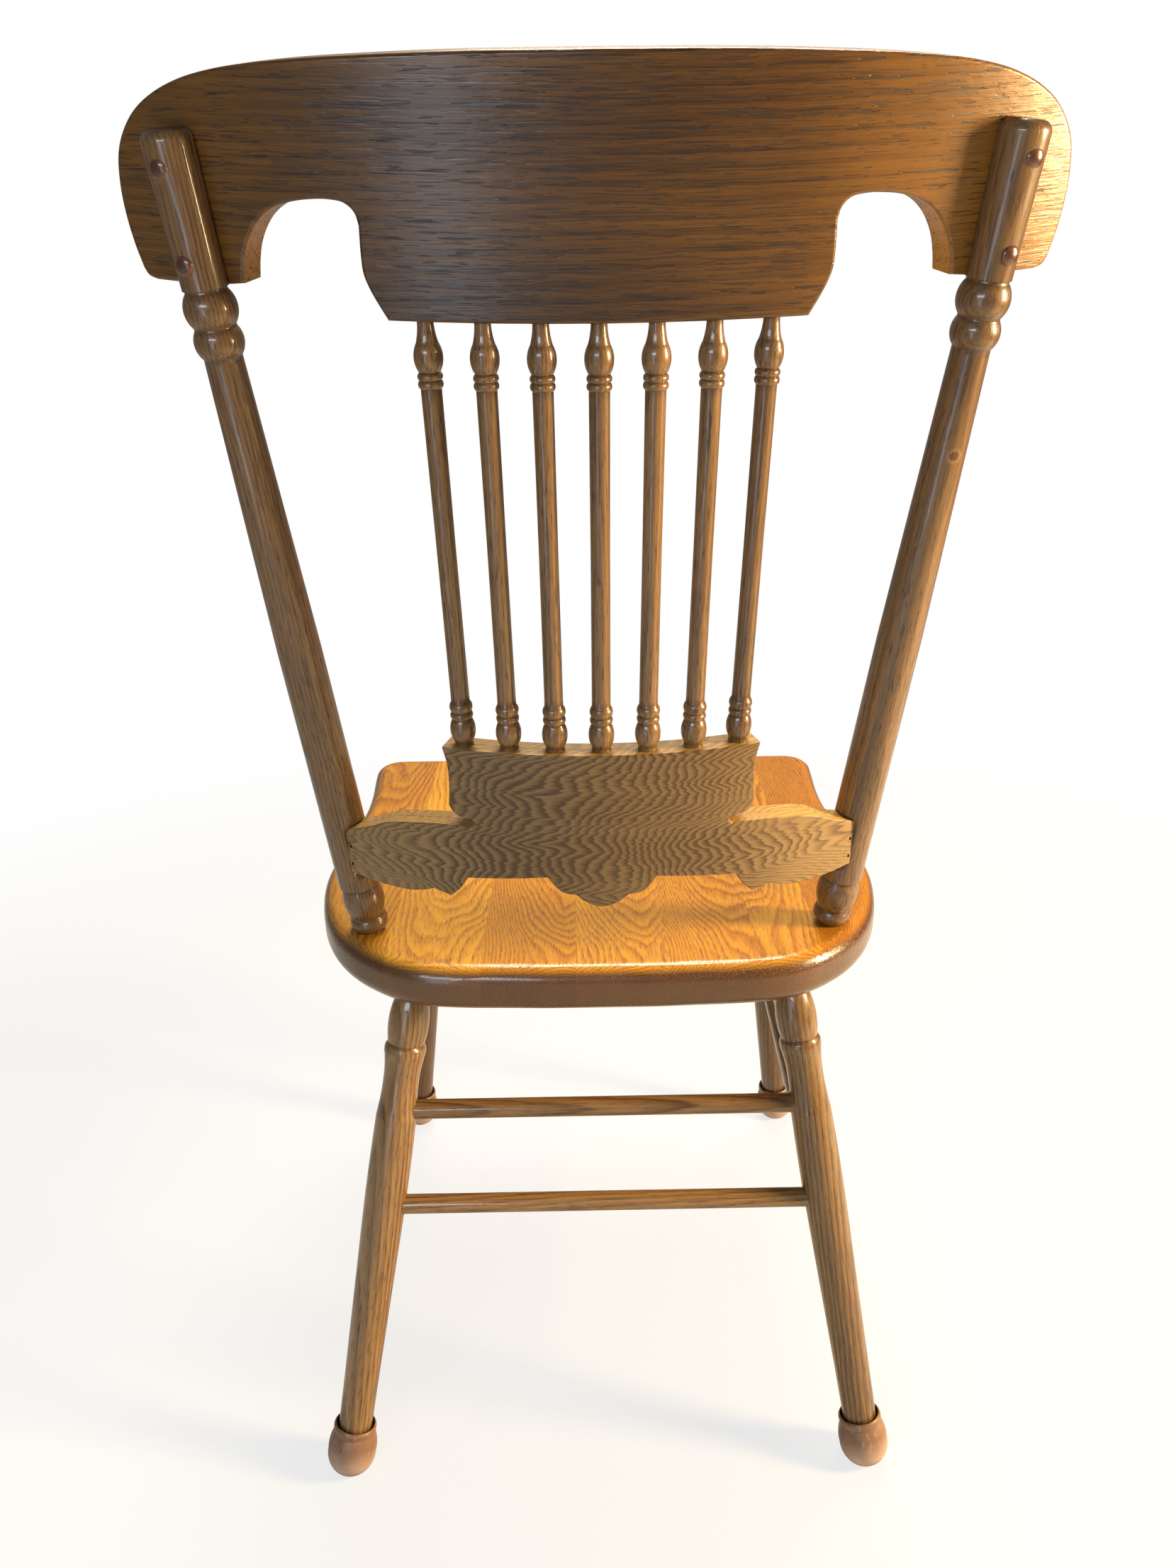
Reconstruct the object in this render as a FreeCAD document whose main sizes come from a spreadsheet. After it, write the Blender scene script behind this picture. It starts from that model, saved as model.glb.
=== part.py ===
"""Spindle-back dining chair: turned legs and posts, a jointed plank seat and two bent back boards.

Frame: +Z up, millimetres, the sitter faces -Y and the sitter's left is +X.
The origin is on the floor, at the middle of the chair's bounding box.
"""
import FreeCAD, Part
import math
import os
import Sketcher
from FreeCAD import Placement, Rotation, Vector

# Driving sizes. Heights are above the floor, and depths are behind the seat's front edge.
SIZES = {
    # seat
    "seat_top_height": 442.5,
    "seat_thickness": 38.0,
    "seat_depth": 449.0,
    "seat_half_width": 236.0,
    "seat_waist_half_width": 225.0,
    "seat_front_half_width": 230.0,
    "seat_front_corner": 27.0,
    "seat_waist_depth": 120.0,
    "seat_widest_depth": 272.0,
    "seat_top_round": 13.0,
    "seat_bottom_round": 15.0,
    "scoop_depth": 9.0,
    "scoop_half_width": 188.0,
    "scoop_half_length": 186.0,
    "scoop_centre_depth": 222.0,
    "scoop_bowl": 60.0,
    # glue joints between the staves, across the seat
    "stave_joint_a": 165.0,
    "stave_joint_b": 91.0,
    "stave_joint_c": 20.0,
    "stave_joint_d": -50.0,
    "stave_joint_e": -119.0,
    "stave_joint_f": -168.0,
    # fits
    "glue_gap": 0.1,
    "end_gap": 0.5,
    # legs: where they meet the seat's underside and where the foot caps stand
    "rear_leg_top_half_width": 147.0,
    "rear_leg_top_depth": 411.8,
    "rear_foot_half_width": 212.3,
    "rear_foot_depth": 496.6,
    "front_leg_top_half_width": 168.0,
    "front_leg_top_depth": 70.0,
    "front_foot_half_width": 209.1,
    "front_foot_depth": 42.6,
    "leg_tenon_length": 26.0,
    "leg_tenon_radius": 12.8,
    "leg_bulb_start": 4.2,
    "leg_bulb_end": 41.0,
    "leg_bulb_end_radius": 14.2,
    "leg_bulb_swell": 2.3,
    "leg_ring_start": 43.5,
    "leg_ring_end": 50.0,
    "leg_ring_radius": 15.9,
    "leg_ring_swell": 0.4,
    "leg_neck_station": 72.0,
    "leg_neck_radius": 14.0,
    "leg_neck_hollow": 0.5,
    "leg_swell_start": 102.0,
    "leg_swell_end": 215.0,
    "leg_swell_radius": 15.9,
    "leg_swell_rise": 0.65,
    "leg_ankle_station": 330.0,
    "leg_ankle_radius": 14.0,
    "leg_end_radius": 13.2,
    "leg_end_chamfer": 1.5,
    "leg_past_foot_centre": 9.5,
    # foot caps: heights along the leg from the cap's tip, except the first
    "cap_centre_above_floor": 19.5,
    "cap_ball_height": 20.6,
    "cap_ball_radius": 19.6,
    "cap_tip_radius": 6.0,
    "cap_tip_swell": 4.2,
    "cap_waist_height": 38.5,
    "cap_waist_radius": 16.4,
    "cap_shoulder_swell": 1.3,
    "cap_height": 45.0,
    "cap_rim_radius": 17.3,
    "cap_rim_wall": 1.9,
    "cap_flare_height": 31.0,
    # stretchers: heights of their centre lines
    "stretcher_radius": 7.6,
    "stretcher_past_axis": 3.0,
    "rear_stretcher_upper_height": 310.2,
    "rear_stretcher_lower_height": 231.6,
    "side_stretcher_upper_height": 270.0,
    "side_stretcher_lower_height": 188.0,
    "front_stretcher_upper_height": 314.0,
    "front_stretcher_lower_height": 230.0,
    # back posts
    "post_foot_half_width": 181.5,
    "post_foot_depth": 376.0,
    "post_lean": 0.1841,
    "post_splay": 0.0974,
    "post_tenon_length": 27.0,
    "post_tenon_radius": 9.5,
    "post_foot_station": 2.6,
    "post_foot_radius": 12.2,
    "post_low_bead_end": 14.2,
    "post_low_bead_swell": 2.2,
    "post_groove_width": 1.3,
    "post_groove_radius": 12.5,
    "post_low_ball_end": 43.4,
    "post_low_ball_radius": 13.2,
    "post_low_ball_swell": 3.0,
    "post_shaft_start": 46.0,
    "post_shaft_radius": 15.9,
    "post_middle_station": 245.0,
    "post_middle_radius": 14.9,
    "post_shaft_end": 439.0,
    "post_shaft_end_radius": 11.5,
    "post_high_bead_end": 455.5,
    "post_high_bead_swell": 2.3,
    "post_high_ball_end": 476.0,
    "post_high_ball_radius": 13.6,
    "post_high_ball_swell": 3.1,
    "post_head_start": 477.8,
    "post_head_low_radius": 13.5,
    "post_head_high_radius": 14.6,
    "post_head_round": 6.0,
    "post_length": 560.0,
    "post_flat_offset": 6.0,
    "post_splat_flat_offset": 10.0,
    "post_notch_margin": 1.0,
    # crest rail: a board bent round an axis that leans back, measured along its bend and up its face
    "crest_bend_radius": 570.0,
    "crest_thickness": 20.0,
    "crest_datum_height": 979.6,
    "crest_contact_gap": 0.05,
    "crest_half_length": 287.0,
    "crest_top": 38.5,
    "crest_panel_bottom": -93.6,
    "crest_panel_half_length": 120.5,
    "crest_throat_half_length": 133.2,
    "crest_arch_top": -31.6,
    "crest_arch_outer": 209.0,
    "crest_pad_bottom": -79.6,
    # lower back splat: two plies, bent the same way
    "splat_bend_radius": 360.0,
    "splat_ply": 10.0,
    "splat_lean": 6.0,
    "splat_datum_height": 615.5,
    "splat_behind_post_axis": 2.2,
    "splat_top": 3.7,
    "splat_block_half_length": 107.0,
    "splat_slot_end": 89.3,
    "splat_slot_centre": -53.1,
    "splat_slot_half_width": 3.0,
    "splat_end_top": -83.0,
    "splat_end_bottom": -115.3,
    "splat_end_rise": 4.0,
    "splat_lower_edge": -92.9,
    "splat_point": -116.6,
    # spindles
    "spindle_tenon_radius": 4.8,
    "spindle_foot_tenon": 16.0,
    "spindle_head_tenon": 20.0,
    "spindle_foot_clear": 0.25,
    "spindle_foot_pitch": 31.05,
    "spindle_head_pitch": 33.1,
    "spindle_foot_radius": 6.6,
    "spindle_low_bulb_start": 2.6,
    "spindle_low_bulb_end": 19.5,
    "spindle_low_bulb_swell": 2.25,
    "spindle_bead_radius": 6.5,
    "spindle_low_bead_end": 24.6,
    "spindle_bead_swell": 1.15,
    "spindle_low_ring_end": 32.0,
    "spindle_shaft_radius": 6.25,
    "spindle_waist_radius": 6.05,
    # the next five are measured down from the crest's lower edge
    "spindle_high_ring_drop": 38.8,
    "spindle_high_bead_drop": 34.0,
    "spindle_vase_drop": 29.6,
    "spindle_vase_end_drop": 13.3,
    "spindle_neck_drop": 2.8,
    "spindle_vase_end_radius": 6.6,
    "spindle_vase_swell": 2.2,
    "spindle_neck_hollow": 0.35,
    # plugs, screws and brads of the back
    "fastener_low_station": 492.0,
    "fastener_high_station": 541.5,
    "plug_head_radius": 6.0,
    "plug_head_rise": 3.6,
    "plug_stem_radius": 4.7,
    "plug_stem_length": 4.6,
    "plug_bore_depth": 5.2,
    "screw_head_radius": 4.0,
    "screw_head_length": 3.0,
    "screw_shank_radius": 2.1,
    "screw_length": 27.0,
    "screw_point": 4.0,
    "brad_head_radius": 1.3,
    "brad_head_length": 0.8,
    "brad_shank_radius": 0.8,
    "brad_length": 20.0,
    "brad_low_up": -108.5,
    "brad_high_up": -93.5,
    "brad_beside_joint": 3.0,
    "brad_slant": 45.0,
}

NODE_FOLDER = "parts"
TURNING_AXIS = Vector(0, 0, 1)
SPINDLE_COUNT = 7
LEFT, RIGHT = 1, -1

doc = FreeCAD.newDocument("SpindleBackChair")
sheet = doc.addObject("Spreadsheet::Sheet", "Sizes")
for row, (alias, number) in enumerate(SIZES.items(), start=1):
    sheet.set(f"A{row}", alias)
    sheet.set(f"B{row}", str(number))
    sheet.setAlias(f"B{row}", alias)
doc.recompute()

nodes = []


class Length:
    """A number together with the sheet expression that it came from."""

    def __init__(self, value, text):
        self.value = value
        self.text = text

    def __add__(self, other):
        other = as_length(other)
        return Length(self.value + other.value, f"({self.text} + {other.text})")

    def __sub__(self, other):
        other = as_length(other)
        return Length(self.value - other.value, f"({self.text} - {other.text})")

    def __mul__(self, other):
        other = as_length(other)
        return Length(self.value * other.value, f"({self.text} * {other.text})")

    def __truediv__(self, other):
        other = as_length(other)
        return Length(self.value / other.value, f"({self.text} / {other.text})")


def as_length(number):
    """A plain number as a Length, and a Length as it is."""
    return number if isinstance(number, Length) else Length(float(number), repr(float(number)))


def cell(alias):
    """The Length held by one cell of the sheet."""
    return Length(float(sheet.get(alias)), f"Sizes.{alias}")


def size(alias):
    """The plain number held by one cell of the sheet."""
    return cell(alias).value


def root_of_squares(*parts):
    """The length of the diagonal over the given parts."""
    total = parts[0] * parts[0]
    for part in parts[1:]:
        total = total + part * part
    return Length(math.sqrt(total.value), f"sqrt({total.text})")


def bind(target, prop, length):
    """Drive a property of an object from the sheet."""
    target.setExpression(prop, length.text)


def arc_between(low, high, swell):
    """A circular arc in the sketch plane from one profile point up to the next."""
    chord = high - low
    rise = abs(swell)
    radius = chord.Length ** 2 / (8 * rise) + rise / 2
    outward = Vector(chord.y, -chord.x, 0).normalize()
    side = 1 if swell > 0 else -1
    centre = (low + high) / 2 - outward * side * (radius - rise)
    start, end = (low, high) if swell > 0 else (high, low)
    first = math.atan2(start.y - centre.y, start.x - centre.x)
    last = math.atan2(end.y - centre.y, end.x - centre.x)
    if last < first:
        last += 2 * math.pi
    return Part.ArcOfCircle(Part.Circle(centre, TURNING_AXIS, radius), first, last)


def aligned(base, direction, towards=None):
    """The placement that puts local Z along a direction, and local X towards another one if given."""
    axis = Vector(direction).normalize()
    if towards is None:
        return Placement(base, Rotation(TURNING_AXIS, axis))
    side = (towards - axis * towards.dot(axis)).normalize()
    return Placement(base, Rotation(side, axis.cross(side), axis, "ZXY"))


def keep(piece, label):
    """Name a finished sub-part, so that it is written to its own file."""
    piece.Label = label
    nodes.append(piece)
    return piece


def turned(name, profile, placement):
    """A body turned about its local Z axis.

    profile lists (station, radius, swell) from the lower end: swell is the height of the arc
    from this point to the next one, out (+) or in (-), or None for a straight line.
    """
    body = doc.addObject("PartDesign::Body", name)
    plane = next(item for item in body.Origin.OriginFeatures if item.Role == "XZ_Plane")
    sketch = body.newObject("Sketcher::SketchObject", name + "_profile")
    sketch.AttachmentSupport = (plane, [""])
    sketch.MapMode = "FlatFace"
    corners = [Vector(radius.value, station.value, 0) for station, radius, _ in profile]
    starts, ends = [], []
    for index in range(len(profile) - 1):
        low, high = corners[index], corners[index + 1]
        swell = profile[index][2]
        if swell is None:
            edge = sketch.addGeometry(Part.LineSegment(low, high), False)
            starts.append((edge, 1))
            ends.append((edge, 2))
            continue
        edge = sketch.addGeometry(arc_between(low, high, swell.value), False)
        outward = swell.value > 0
        starts.append((edge, 1 if outward else 2))
        ends.append((edge, 2 if outward else 1))
        chord = root_of_squares(profile[index + 1][0] - profile[index][0],
                                profile[index + 1][1] - profile[index][1])
        arc_radius = chord * chord / (swell * 8) + swell / 2
        if not outward:
            arc_radius = arc_radius * -1
        bend = sketch.addConstraint(Sketcher.Constraint("Radius", edge, arc_radius.value))
        bind(sketch, f"Constraints[{bend}]", arc_radius)
    low_axis = Vector(0, corners[0].y, 0)
    high_axis = Vector(0, corners[-1].y, 0)
    top = sketch.addGeometry(Part.LineSegment(corners[-1], high_axis), False)
    spine = sketch.addGeometry(Part.LineSegment(high_axis, low_axis), False)
    bottom = sketch.addGeometry(Part.LineSegment(low_axis, corners[0]), False)
    starts += [(top, 1), (spine, 1), (bottom, 1)]
    ends += [(top, 2), (spine, 2), (bottom, 2)]
    for index, end in enumerate(ends):
        following = starts[(index + 1) % len(starts)]
        sketch.addConstraint(Sketcher.Constraint("Coincident", *end, *following))
    sketch.addConstraint(Sketcher.Constraint("PointOnObject", spine, 1, -2))
    sketch.addConstraint(Sketcher.Constraint("Coincident", spine, 2, -1, 1))
    sketch.addConstraint(Sketcher.Constraint("Horizontal", top))
    sketch.addConstraint(Sketcher.Constraint("Horizontal", bottom))
    for (station, radius, _), (edge, point) in zip(profile, starts):
        across = sketch.addConstraint(Sketcher.Constraint("DistanceX", -1, 1, edge, point, radius.value))
        bind(sketch, f"Constraints[{across}]", radius)
        if station.value > 0:
            along = sketch.addConstraint(Sketcher.Constraint("DistanceY", -1, 1, edge, point, station.value))
            bind(sketch, f"Constraints[{along}]", station)
    turning = body.newObject("PartDesign::Revolution", name + "_turning")
    turning.Profile = sketch
    turning.ReferenceAxis = (sketch, ["V_Axis"])
    turning.Angle = 360.0
    body.Tip = turning
    body.Placement = placement
    return body


def rod(name, radius, length, placement):
    """A plain cylinder along local Z."""
    cylinder = doc.addObject("Part::Cylinder", name)
    bind(cylinder, "Radius", as_length(radius))
    bind(cylinder, "Height", as_length(length))
    cylinder.Placement = placement
    return cylinder


def block(name, across, deep, tall, placement):
    """A box from local X, Y and Z extents that start at the placement's corner."""
    box = doc.addObject("Part::Box", name)
    bind(box, "Length", as_length(across))
    bind(box, "Width", as_length(deep))
    bind(box, "Height", as_length(tall))
    box.Placement = placement
    return box


def cut(piece, tools):
    """The piece with the tools' space taken away."""
    space = tools[0]
    if len(tools) > 1:
        space = doc.addObject("Part::MultiFuse", piece.Name + "_space")
        space.Shapes = tools
    step = doc.addObject("Part::Cut", piece.Name + "_cut")
    step.Base = piece
    step.Tool = space
    return step


def joined(name, pieces):
    """Separate solids held in one node."""
    group = doc.addObject("Part::Compound", name)
    group.Links = pieces
    return group


class Board:
    """A board bent round a leaning axis: places are given across, up its face and in from its rear."""

    def __init__(self, bend_radius, lean, datum):
        self.radius = bend_radius
        self.lean = lean
        self.datum = datum
        self.rearward = Vector(0, math.cos(lean), -math.sin(lean))
        self.upward = Vector(0, math.sin(lean), math.cos(lean))

    def point(self, across, up, inset):
        """The point at a distance across, up the face, and in from the rear face."""
        reach = math.sqrt((self.radius - inset) ** 2 - across ** 2) - self.radius
        return self.datum + Vector(across, 0, 0) + self.rearward * reach + self.upward * up

    def normal(self, across, radius):
        """The outward normal where the radius from the bend axis meets a distance across."""
        sine = across / radius
        return Vector(sine, 0, 0) + self.rearward * math.sqrt(1 - sine ** 2)

    def placement(self):
        """The placement of the bend axis, with local Y towards the board's middle."""
        return Placement(self.datum - self.rearward * self.radius,
                         Rotation(Vector(1, 0, 0), -math.degrees(self.lean)))

    def outline(self, half_outline, radius, reach):
        """A closed wire of the outline, drawn in the plane at a distance from the bend axis."""
        mirrored = [[(-along, up) for along, up in reversed(run)] for run in reversed(half_outline)]
        edges = []
        for run in half_outline + mirrored:
            places = [Vector(reach * math.tan(along / radius), reach, up) for along, up in run]
            if len(places) == 2:
                edges.append(Part.makeLine(*places))
                continue
            curve = Part.BSplineCurve()
            curve.interpolate(places)
            edges.append(curve.toShape())
        return Part.Wire(edges)


def bent_piece(name, board, half_outline, outer, inner):
    """The part of a bent board between two radii, in the given outline with radial edges."""
    margin = 4.0
    widest = max(along for run in half_outline for along, _ in run) / board.radius
    far = board.outline(half_outline, board.radius, board.radius + margin)
    near = board.outline(half_outline, board.radius, (inner.value - margin) * math.cos(widest))
    stencil = doc.addObject("Part::Feature", name + "_stencil")
    stencil.Shape = Part.makeLoft([near, far], True, True)
    stencil.Placement = board.placement()
    tall = 2 * margin + stencil.Shape.BoundBox.ZLength * 2
    axis = board.placement()
    start = axis.multiply(Placement(Vector(0, 0, -tall / 2), Rotation(Vector(0, 0, 1), -90)))
    shell = cut(rod(name + "_outer", outer, tall, start), [rod(name + "_inner", inner, tall, start)])
    piece = doc.addObject("Part::Common", name)
    piece.Base = shell
    piece.Tool = stencil
    return piece


# Directions and places that follow from the sizes, in the frame of depths behind the seat's front edge
seat_top = size("seat_top_height")
seat_underside = seat_top - size("seat_thickness")
post_direction = Vector(size("post_splay"), size("post_lean"), 1).normalize()


def mirror(vector, hand):
    """The vector as it is on the left, or mirrored to the right."""
    return Vector(vector.x * hand, vector.y, vector.z)


def post_point(station, hand=LEFT):
    """A point on a post's axis, at a distance up it from the seat's top."""
    foot = Vector(size("post_foot_half_width"), size("post_foot_depth"), seat_top)
    return mirror(foot + post_direction * station, hand)


def datum_depth(place, distance, lean, radius, height):
    """The depth of a board's rear face at its middle, so that a place lies at a distance from its axis."""
    reach = math.sqrt(distance ** 2 - place.x ** 2) - radius
    return place.y - (reach + (place.z - height) * math.sin(lean)) / math.cos(lean)


# The crest lies on the flats of both post heads, so the posts set its lean and its depth
crest_radius = size("crest_bend_radius")
crest_flat_radius = crest_radius + size("post_flat_offset") + size("crest_contact_gap")
head_middle = post_point((size("post_head_start") + size("post_length")) / 2)
head_angle = math.asin(head_middle.x / crest_flat_radius)
lean_length = math.hypot(post_direction.y, post_direction.z)
crest_lean = (math.atan2(post_direction.y, post_direction.z)
              + math.asin(post_direction.x * math.tan(head_angle) / lean_length))
crest_height = size("crest_datum_height")
crest_depth = datum_depth(head_middle, crest_flat_radius, crest_lean, crest_radius, crest_height)
chair_depth = crest_depth + size("crest_top") * math.sin(crest_lean)
to_origin = Vector(0, -chair_depth / 2, 0)
crest = Board(crest_radius, crest_lean, Vector(0, crest_depth, crest_height) + to_origin)

# The splat runs into both posts, a little behind their axes
splat_radius = size("splat_bend_radius")
splat_lean = math.radians(size("splat_lean"))
splat_height = size("splat_datum_height")
splat_end_middle = (size("splat_end_top") + size("splat_end_bottom")) / 2
splat_end_station = (splat_height + splat_end_middle * math.cos(splat_lean) - seat_top) / post_direction.z
splat_end = post_point(splat_end_station)
splat_end_radius = splat_radius - size("splat_ply") - size("splat_behind_post_axis")
splat_depth = datum_depth(splat_end, splat_end_radius, splat_lean, splat_radius, splat_height)
splat = Board(splat_radius, splat_lean, Vector(0, splat_depth, splat_height) + to_origin)


def spot(across, depth, height):
    """A point from its place across, its depth behind the seat's front edge and its height."""
    return Vector(across, depth, height) + to_origin


def post_axis(station, hand):
    """A point on a post's axis in the chair's own frame."""
    return post_point(station, hand) + to_origin


class Leg:
    """One turned leg: where its axis runs and how long it is."""

    def __init__(self, end, hand):
        side = "left" if hand == LEFT else "right"
        self.name = f"{end}_leg_{side}"
        self.cap_name = f"{end}_foot_cap_{side}"
        self.top = spot(size(f"{end}_leg_top_half_width") * hand, size(f"{end}_leg_top_depth"), seat_underside)
        self.foot = spot(size(f"{end}_foot_half_width") * hand, size(f"{end}_foot_depth"),
                         size("cap_centre_above_floor"))
        self.direction = (self.foot - self.top).normalize()
        self.outside = Vector(hand, 1 if end == "rear" else -1, 0)
        drop = cell("seat_top_height") - cell("seat_thickness") - cell("cap_centre_above_floor")
        self.visible = root_of_squares(cell(f"{end}_foot_half_width") - cell(f"{end}_leg_top_half_width"),
                                       cell(f"{end}_foot_depth") - cell(f"{end}_leg_top_depth"), drop)
        self.holes = []

    def at_height(self, height):
        """The point of the leg's axis at a height above the floor."""
        return self.top + self.direction * ((height - self.top.z) / self.direction.z)

    def taper(self, past_foot_centre):
        """The leg's radius at a distance past the centre of its foot, on its last straight stretch."""
        whole = self.visible + cell("leg_past_foot_centre") - cell("leg_ankle_station")
        along = self.visible + past_foot_centre - cell("leg_ankle_station")
        return cell("leg_ankle_radius") - (cell("leg_ankle_radius") - cell("leg_end_radius")) * along / whole

    def profile(self):
        """The turned outline, from the tenon's end down to the foot."""
        tenon = cell("leg_tenon_length")
        end = tenon + self.visible + cell("leg_past_foot_centre")
        chamfer = cell("leg_end_chamfer")
        return [
            (Length(0, "0"), cell("leg_tenon_radius") - chamfer, None),
            (chamfer, cell("leg_tenon_radius"), None),
            (tenon + cell("leg_bulb_start"), cell("leg_tenon_radius"), cell("leg_bulb_swell")),
            (tenon + cell("leg_bulb_end"), cell("leg_bulb_end_radius"), None),
            (tenon + cell("leg_ring_start"), cell("leg_ring_radius"), cell("leg_ring_swell")),
            (tenon + cell("leg_ring_end"), cell("leg_ring_radius"), cell("leg_neck_hollow") * -1),
            (tenon + cell("leg_neck_station"), cell("leg_neck_radius"), cell("leg_neck_hollow") * -1),
            (tenon + cell("leg_swell_start"), cell("leg_swell_radius"), cell("leg_swell_rise")),
            (tenon + cell("leg_swell_end"), cell("leg_swell_radius"), None),
            (tenon + cell("leg_ankle_station"), cell("leg_ankle_radius"), None),
            (end - chamfer, cell("leg_end_radius"), None),
            (end, cell("leg_end_radius") - chamfer, None),
        ]

    def mortise(self):
        """The blind hole for the leg's tenon in the seat's underside."""
        below = 10.0
        depth = cell("leg_tenon_length") + cell("end_gap")
        start = self.top - self.direction * depth.value
        return rod(self.name + "_mortise", cell("leg_tenon_radius") + cell("glue_gap"), depth + below,
                   aligned(start, self.direction))

    def build(self):
        """The leg with its stretcher holes."""
        start = self.top - self.direction * size("leg_tenon_length")
        blank = turned(self.name + "_turned", self.profile(), aligned(start, self.direction, self.outside))
        keep(cut(blank, self.holes), self.name)

    def build_cap(self):
        """The soft cap round the foot, cut flat where it stands on the floor."""
        gap = cell("glue_gap")
        floor_height = cell("cap_ball_height") - cell("leg_past_foot_centre") - gap
        flare_radius = self.taper(cell("cap_ball_height") - cell("cap_flare_height")) + gap
        waist = cell("cap_waist_height")
        rim_middle = (waist + cell("cap_height")) / 2
        mouth = cell("cap_rim_radius") - cell("cap_rim_wall")
        outer = [
            (Length(0, "0"), cell("cap_tip_radius"), cell("cap_tip_swell")),
            (cell("cap_ball_height"), cell("cap_ball_radius"), cell("cap_shoulder_swell")),
            (waist, cell("cap_waist_radius"), None),
            (rim_middle, cell("cap_rim_radius"), cell("cap_rim_wall") / 4),
            (cell("cap_height"), mouth + cell("cap_rim_wall") / 2, None),
        ]
        inner = [
            (Length(0, "0"), cell("leg_end_radius") + gap, None),
            (cell("cap_flare_height") - floor_height, flare_radius, None),
            (cell("cap_height") - floor_height, mouth, None),
            (cell("cap_height") - floor_height + cell("end_gap"), mouth, None),
        ]
        up = self.direction * -1
        tip = self.foot - up * size("cap_ball_height")
        shell = turned(self.cap_name + "_outer", outer, aligned(tip, up))
        hollow = turned(self.cap_name + "_hollow", inner, aligned(tip + up * floor_height.value, up))
        reach = size("cap_ball_radius") * 2
        floor = block(self.cap_name + "_floor", reach * 2, reach * 2, reach,
                      Placement(Vector(self.foot.x - reach, self.foot.y - reach, -reach), Rotation()))
        keep(cut(shell, [hollow, floor]), self.cap_name)


def build_stretcher(name, first, second, height):
    """A round stretcher between two legs, glued into a blind hole in each."""
    start, finish = first.at_height(height), second.at_height(height)
    direction = (finish - start).normalize()
    past = size("stretcher_past_axis")
    span = (finish - start).Length + 2 * past
    keep(rod(name, cell("stretcher_radius"), span, aligned(start - direction * past, direction)), name)
    hole_reach = past + size("leg_swell_radius") * 2
    for leg, centre, inward in ((first, start, direction), (second, finish, direction * -1)):
        leg.holes.append(rod(f"{leg.name}_{name}_hole", cell("stretcher_radius") + cell("glue_gap"), hole_reach,
                             aligned(centre - inward * (past + size("end_gap")), inward)))


# The seat's outline, as insets from its side and from its rear edge, round the rear corner
REAR_CORNER_INSETS = [(5.3, 129.0), (14.5, 94.3), (30.0, 62.0), (53.4, 34.0), (92.0, 9.4), (180.0, 0.7)]


def seat_side():
    """Points up the seat's left side and round to the middle of its rear edge."""
    wide, depth = size("seat_half_width"), size("seat_depth")
    side = [
        (size("seat_front_half_width"), size("seat_front_corner")),
        (size("seat_waist_half_width"), size("seat_waist_depth")),
        (wide, size("seat_widest_depth")),
    ]
    return side + [(wide - inset, depth - back) for inset, back in REAR_CORNER_INSETS] + [(0.0, depth)]


def build_seat_blank():
    """The seat as one board: its outline padded, with both edges rounded over."""
    body = doc.addObject("PartDesign::Body", "seat_blank")
    plane = next(item for item in body.Origin.OriginFeatures if item.Role == "XY_Plane")
    sketch = body.newObject("Sketcher::SketchObject", "seat_outline")
    sketch.AttachmentSupport = (plane, [""])
    sketch.MapMode = "FlatFace"
    left = [Vector(across, depth, 0) for across, depth in seat_side()]
    right = [mirror(place, RIGHT) for place in reversed(left[:-1])]
    edge = Part.BSplineCurve()
    edge.interpolate(Points=left + right, InitialTangent=Vector(0, 1, 0), FinalTangent=Vector(0, -1, 0))
    sketch.addGeometry(edge, False)
    corner = size("seat_front_corner")
    middle = size("seat_front_half_width") - corner
    turn = math.pi / 2
    sketch.addGeometry(Part.ArcOfCircle(Part.Circle(Vector(middle, corner, 0), TURNING_AXIS, corner), -turn, 0), False)
    sketch.addGeometry(Part.LineSegment(Vector(-middle, 0, 0), Vector(middle, 0, 0)), False)
    sketch.addGeometry(
        Part.ArcOfCircle(Part.Circle(Vector(-middle, corner, 0), TURNING_AXIS, corner), 2 * turn, 3 * turn), False)
    pad = body.newObject("PartDesign::Pad", "seat_pad")
    pad.Profile = sketch
    bind(pad, "Length", cell("seat_thickness"))
    doc.recompute()
    previous = pad
    for name, alias, height in (("seat_top_edge", "seat_top_round", size("seat_thickness")),
                                ("seat_bottom_edge", "seat_bottom_round", 0.0)):
        rounding = body.newObject("PartDesign::Fillet", name)
        level = [f"Edge{number}" for number, side in enumerate(previous.Shape.Edges, start=1)
                 if abs(side.BoundBox.ZMin - height) < 1e-4 and abs(side.BoundBox.ZMax - height) < 1e-4]
        rounding.Base = (previous, level)
        bind(rounding, "Radius", cell(alias))
        doc.recompute()
        previous = rounding
    body.Tip = previous
    body.Placement = Placement(spot(0, 0, seat_underside), Rotation())
    return body


def build_scoop():
    """The shallow dish that is carved in the seat's top."""
    bowl, depth = cell("scoop_bowl"), cell("scoop_depth")
    share = (bowl - depth) / bowl
    spread = root_of_squares(Length(1, "1"))
    flatness = Length(math.sqrt(1 - share.value ** 2), f"sqrt({spread.text} - {share.text} * {share.text})")
    dish = doc.addObject("Part::Ellipsoid", "seat_scoop")
    bind(dish, "Radius1", bowl)
    bind(dish, "Radius2", cell("scoop_half_width") / flatness)
    bind(dish, "Radius3", cell("scoop_half_length") / flatness)
    dish.Placement = Placement(
        spot(0, size("scoop_centre_depth"), seat_top + (bowl - depth).value), Rotation())
    return dish


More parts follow.
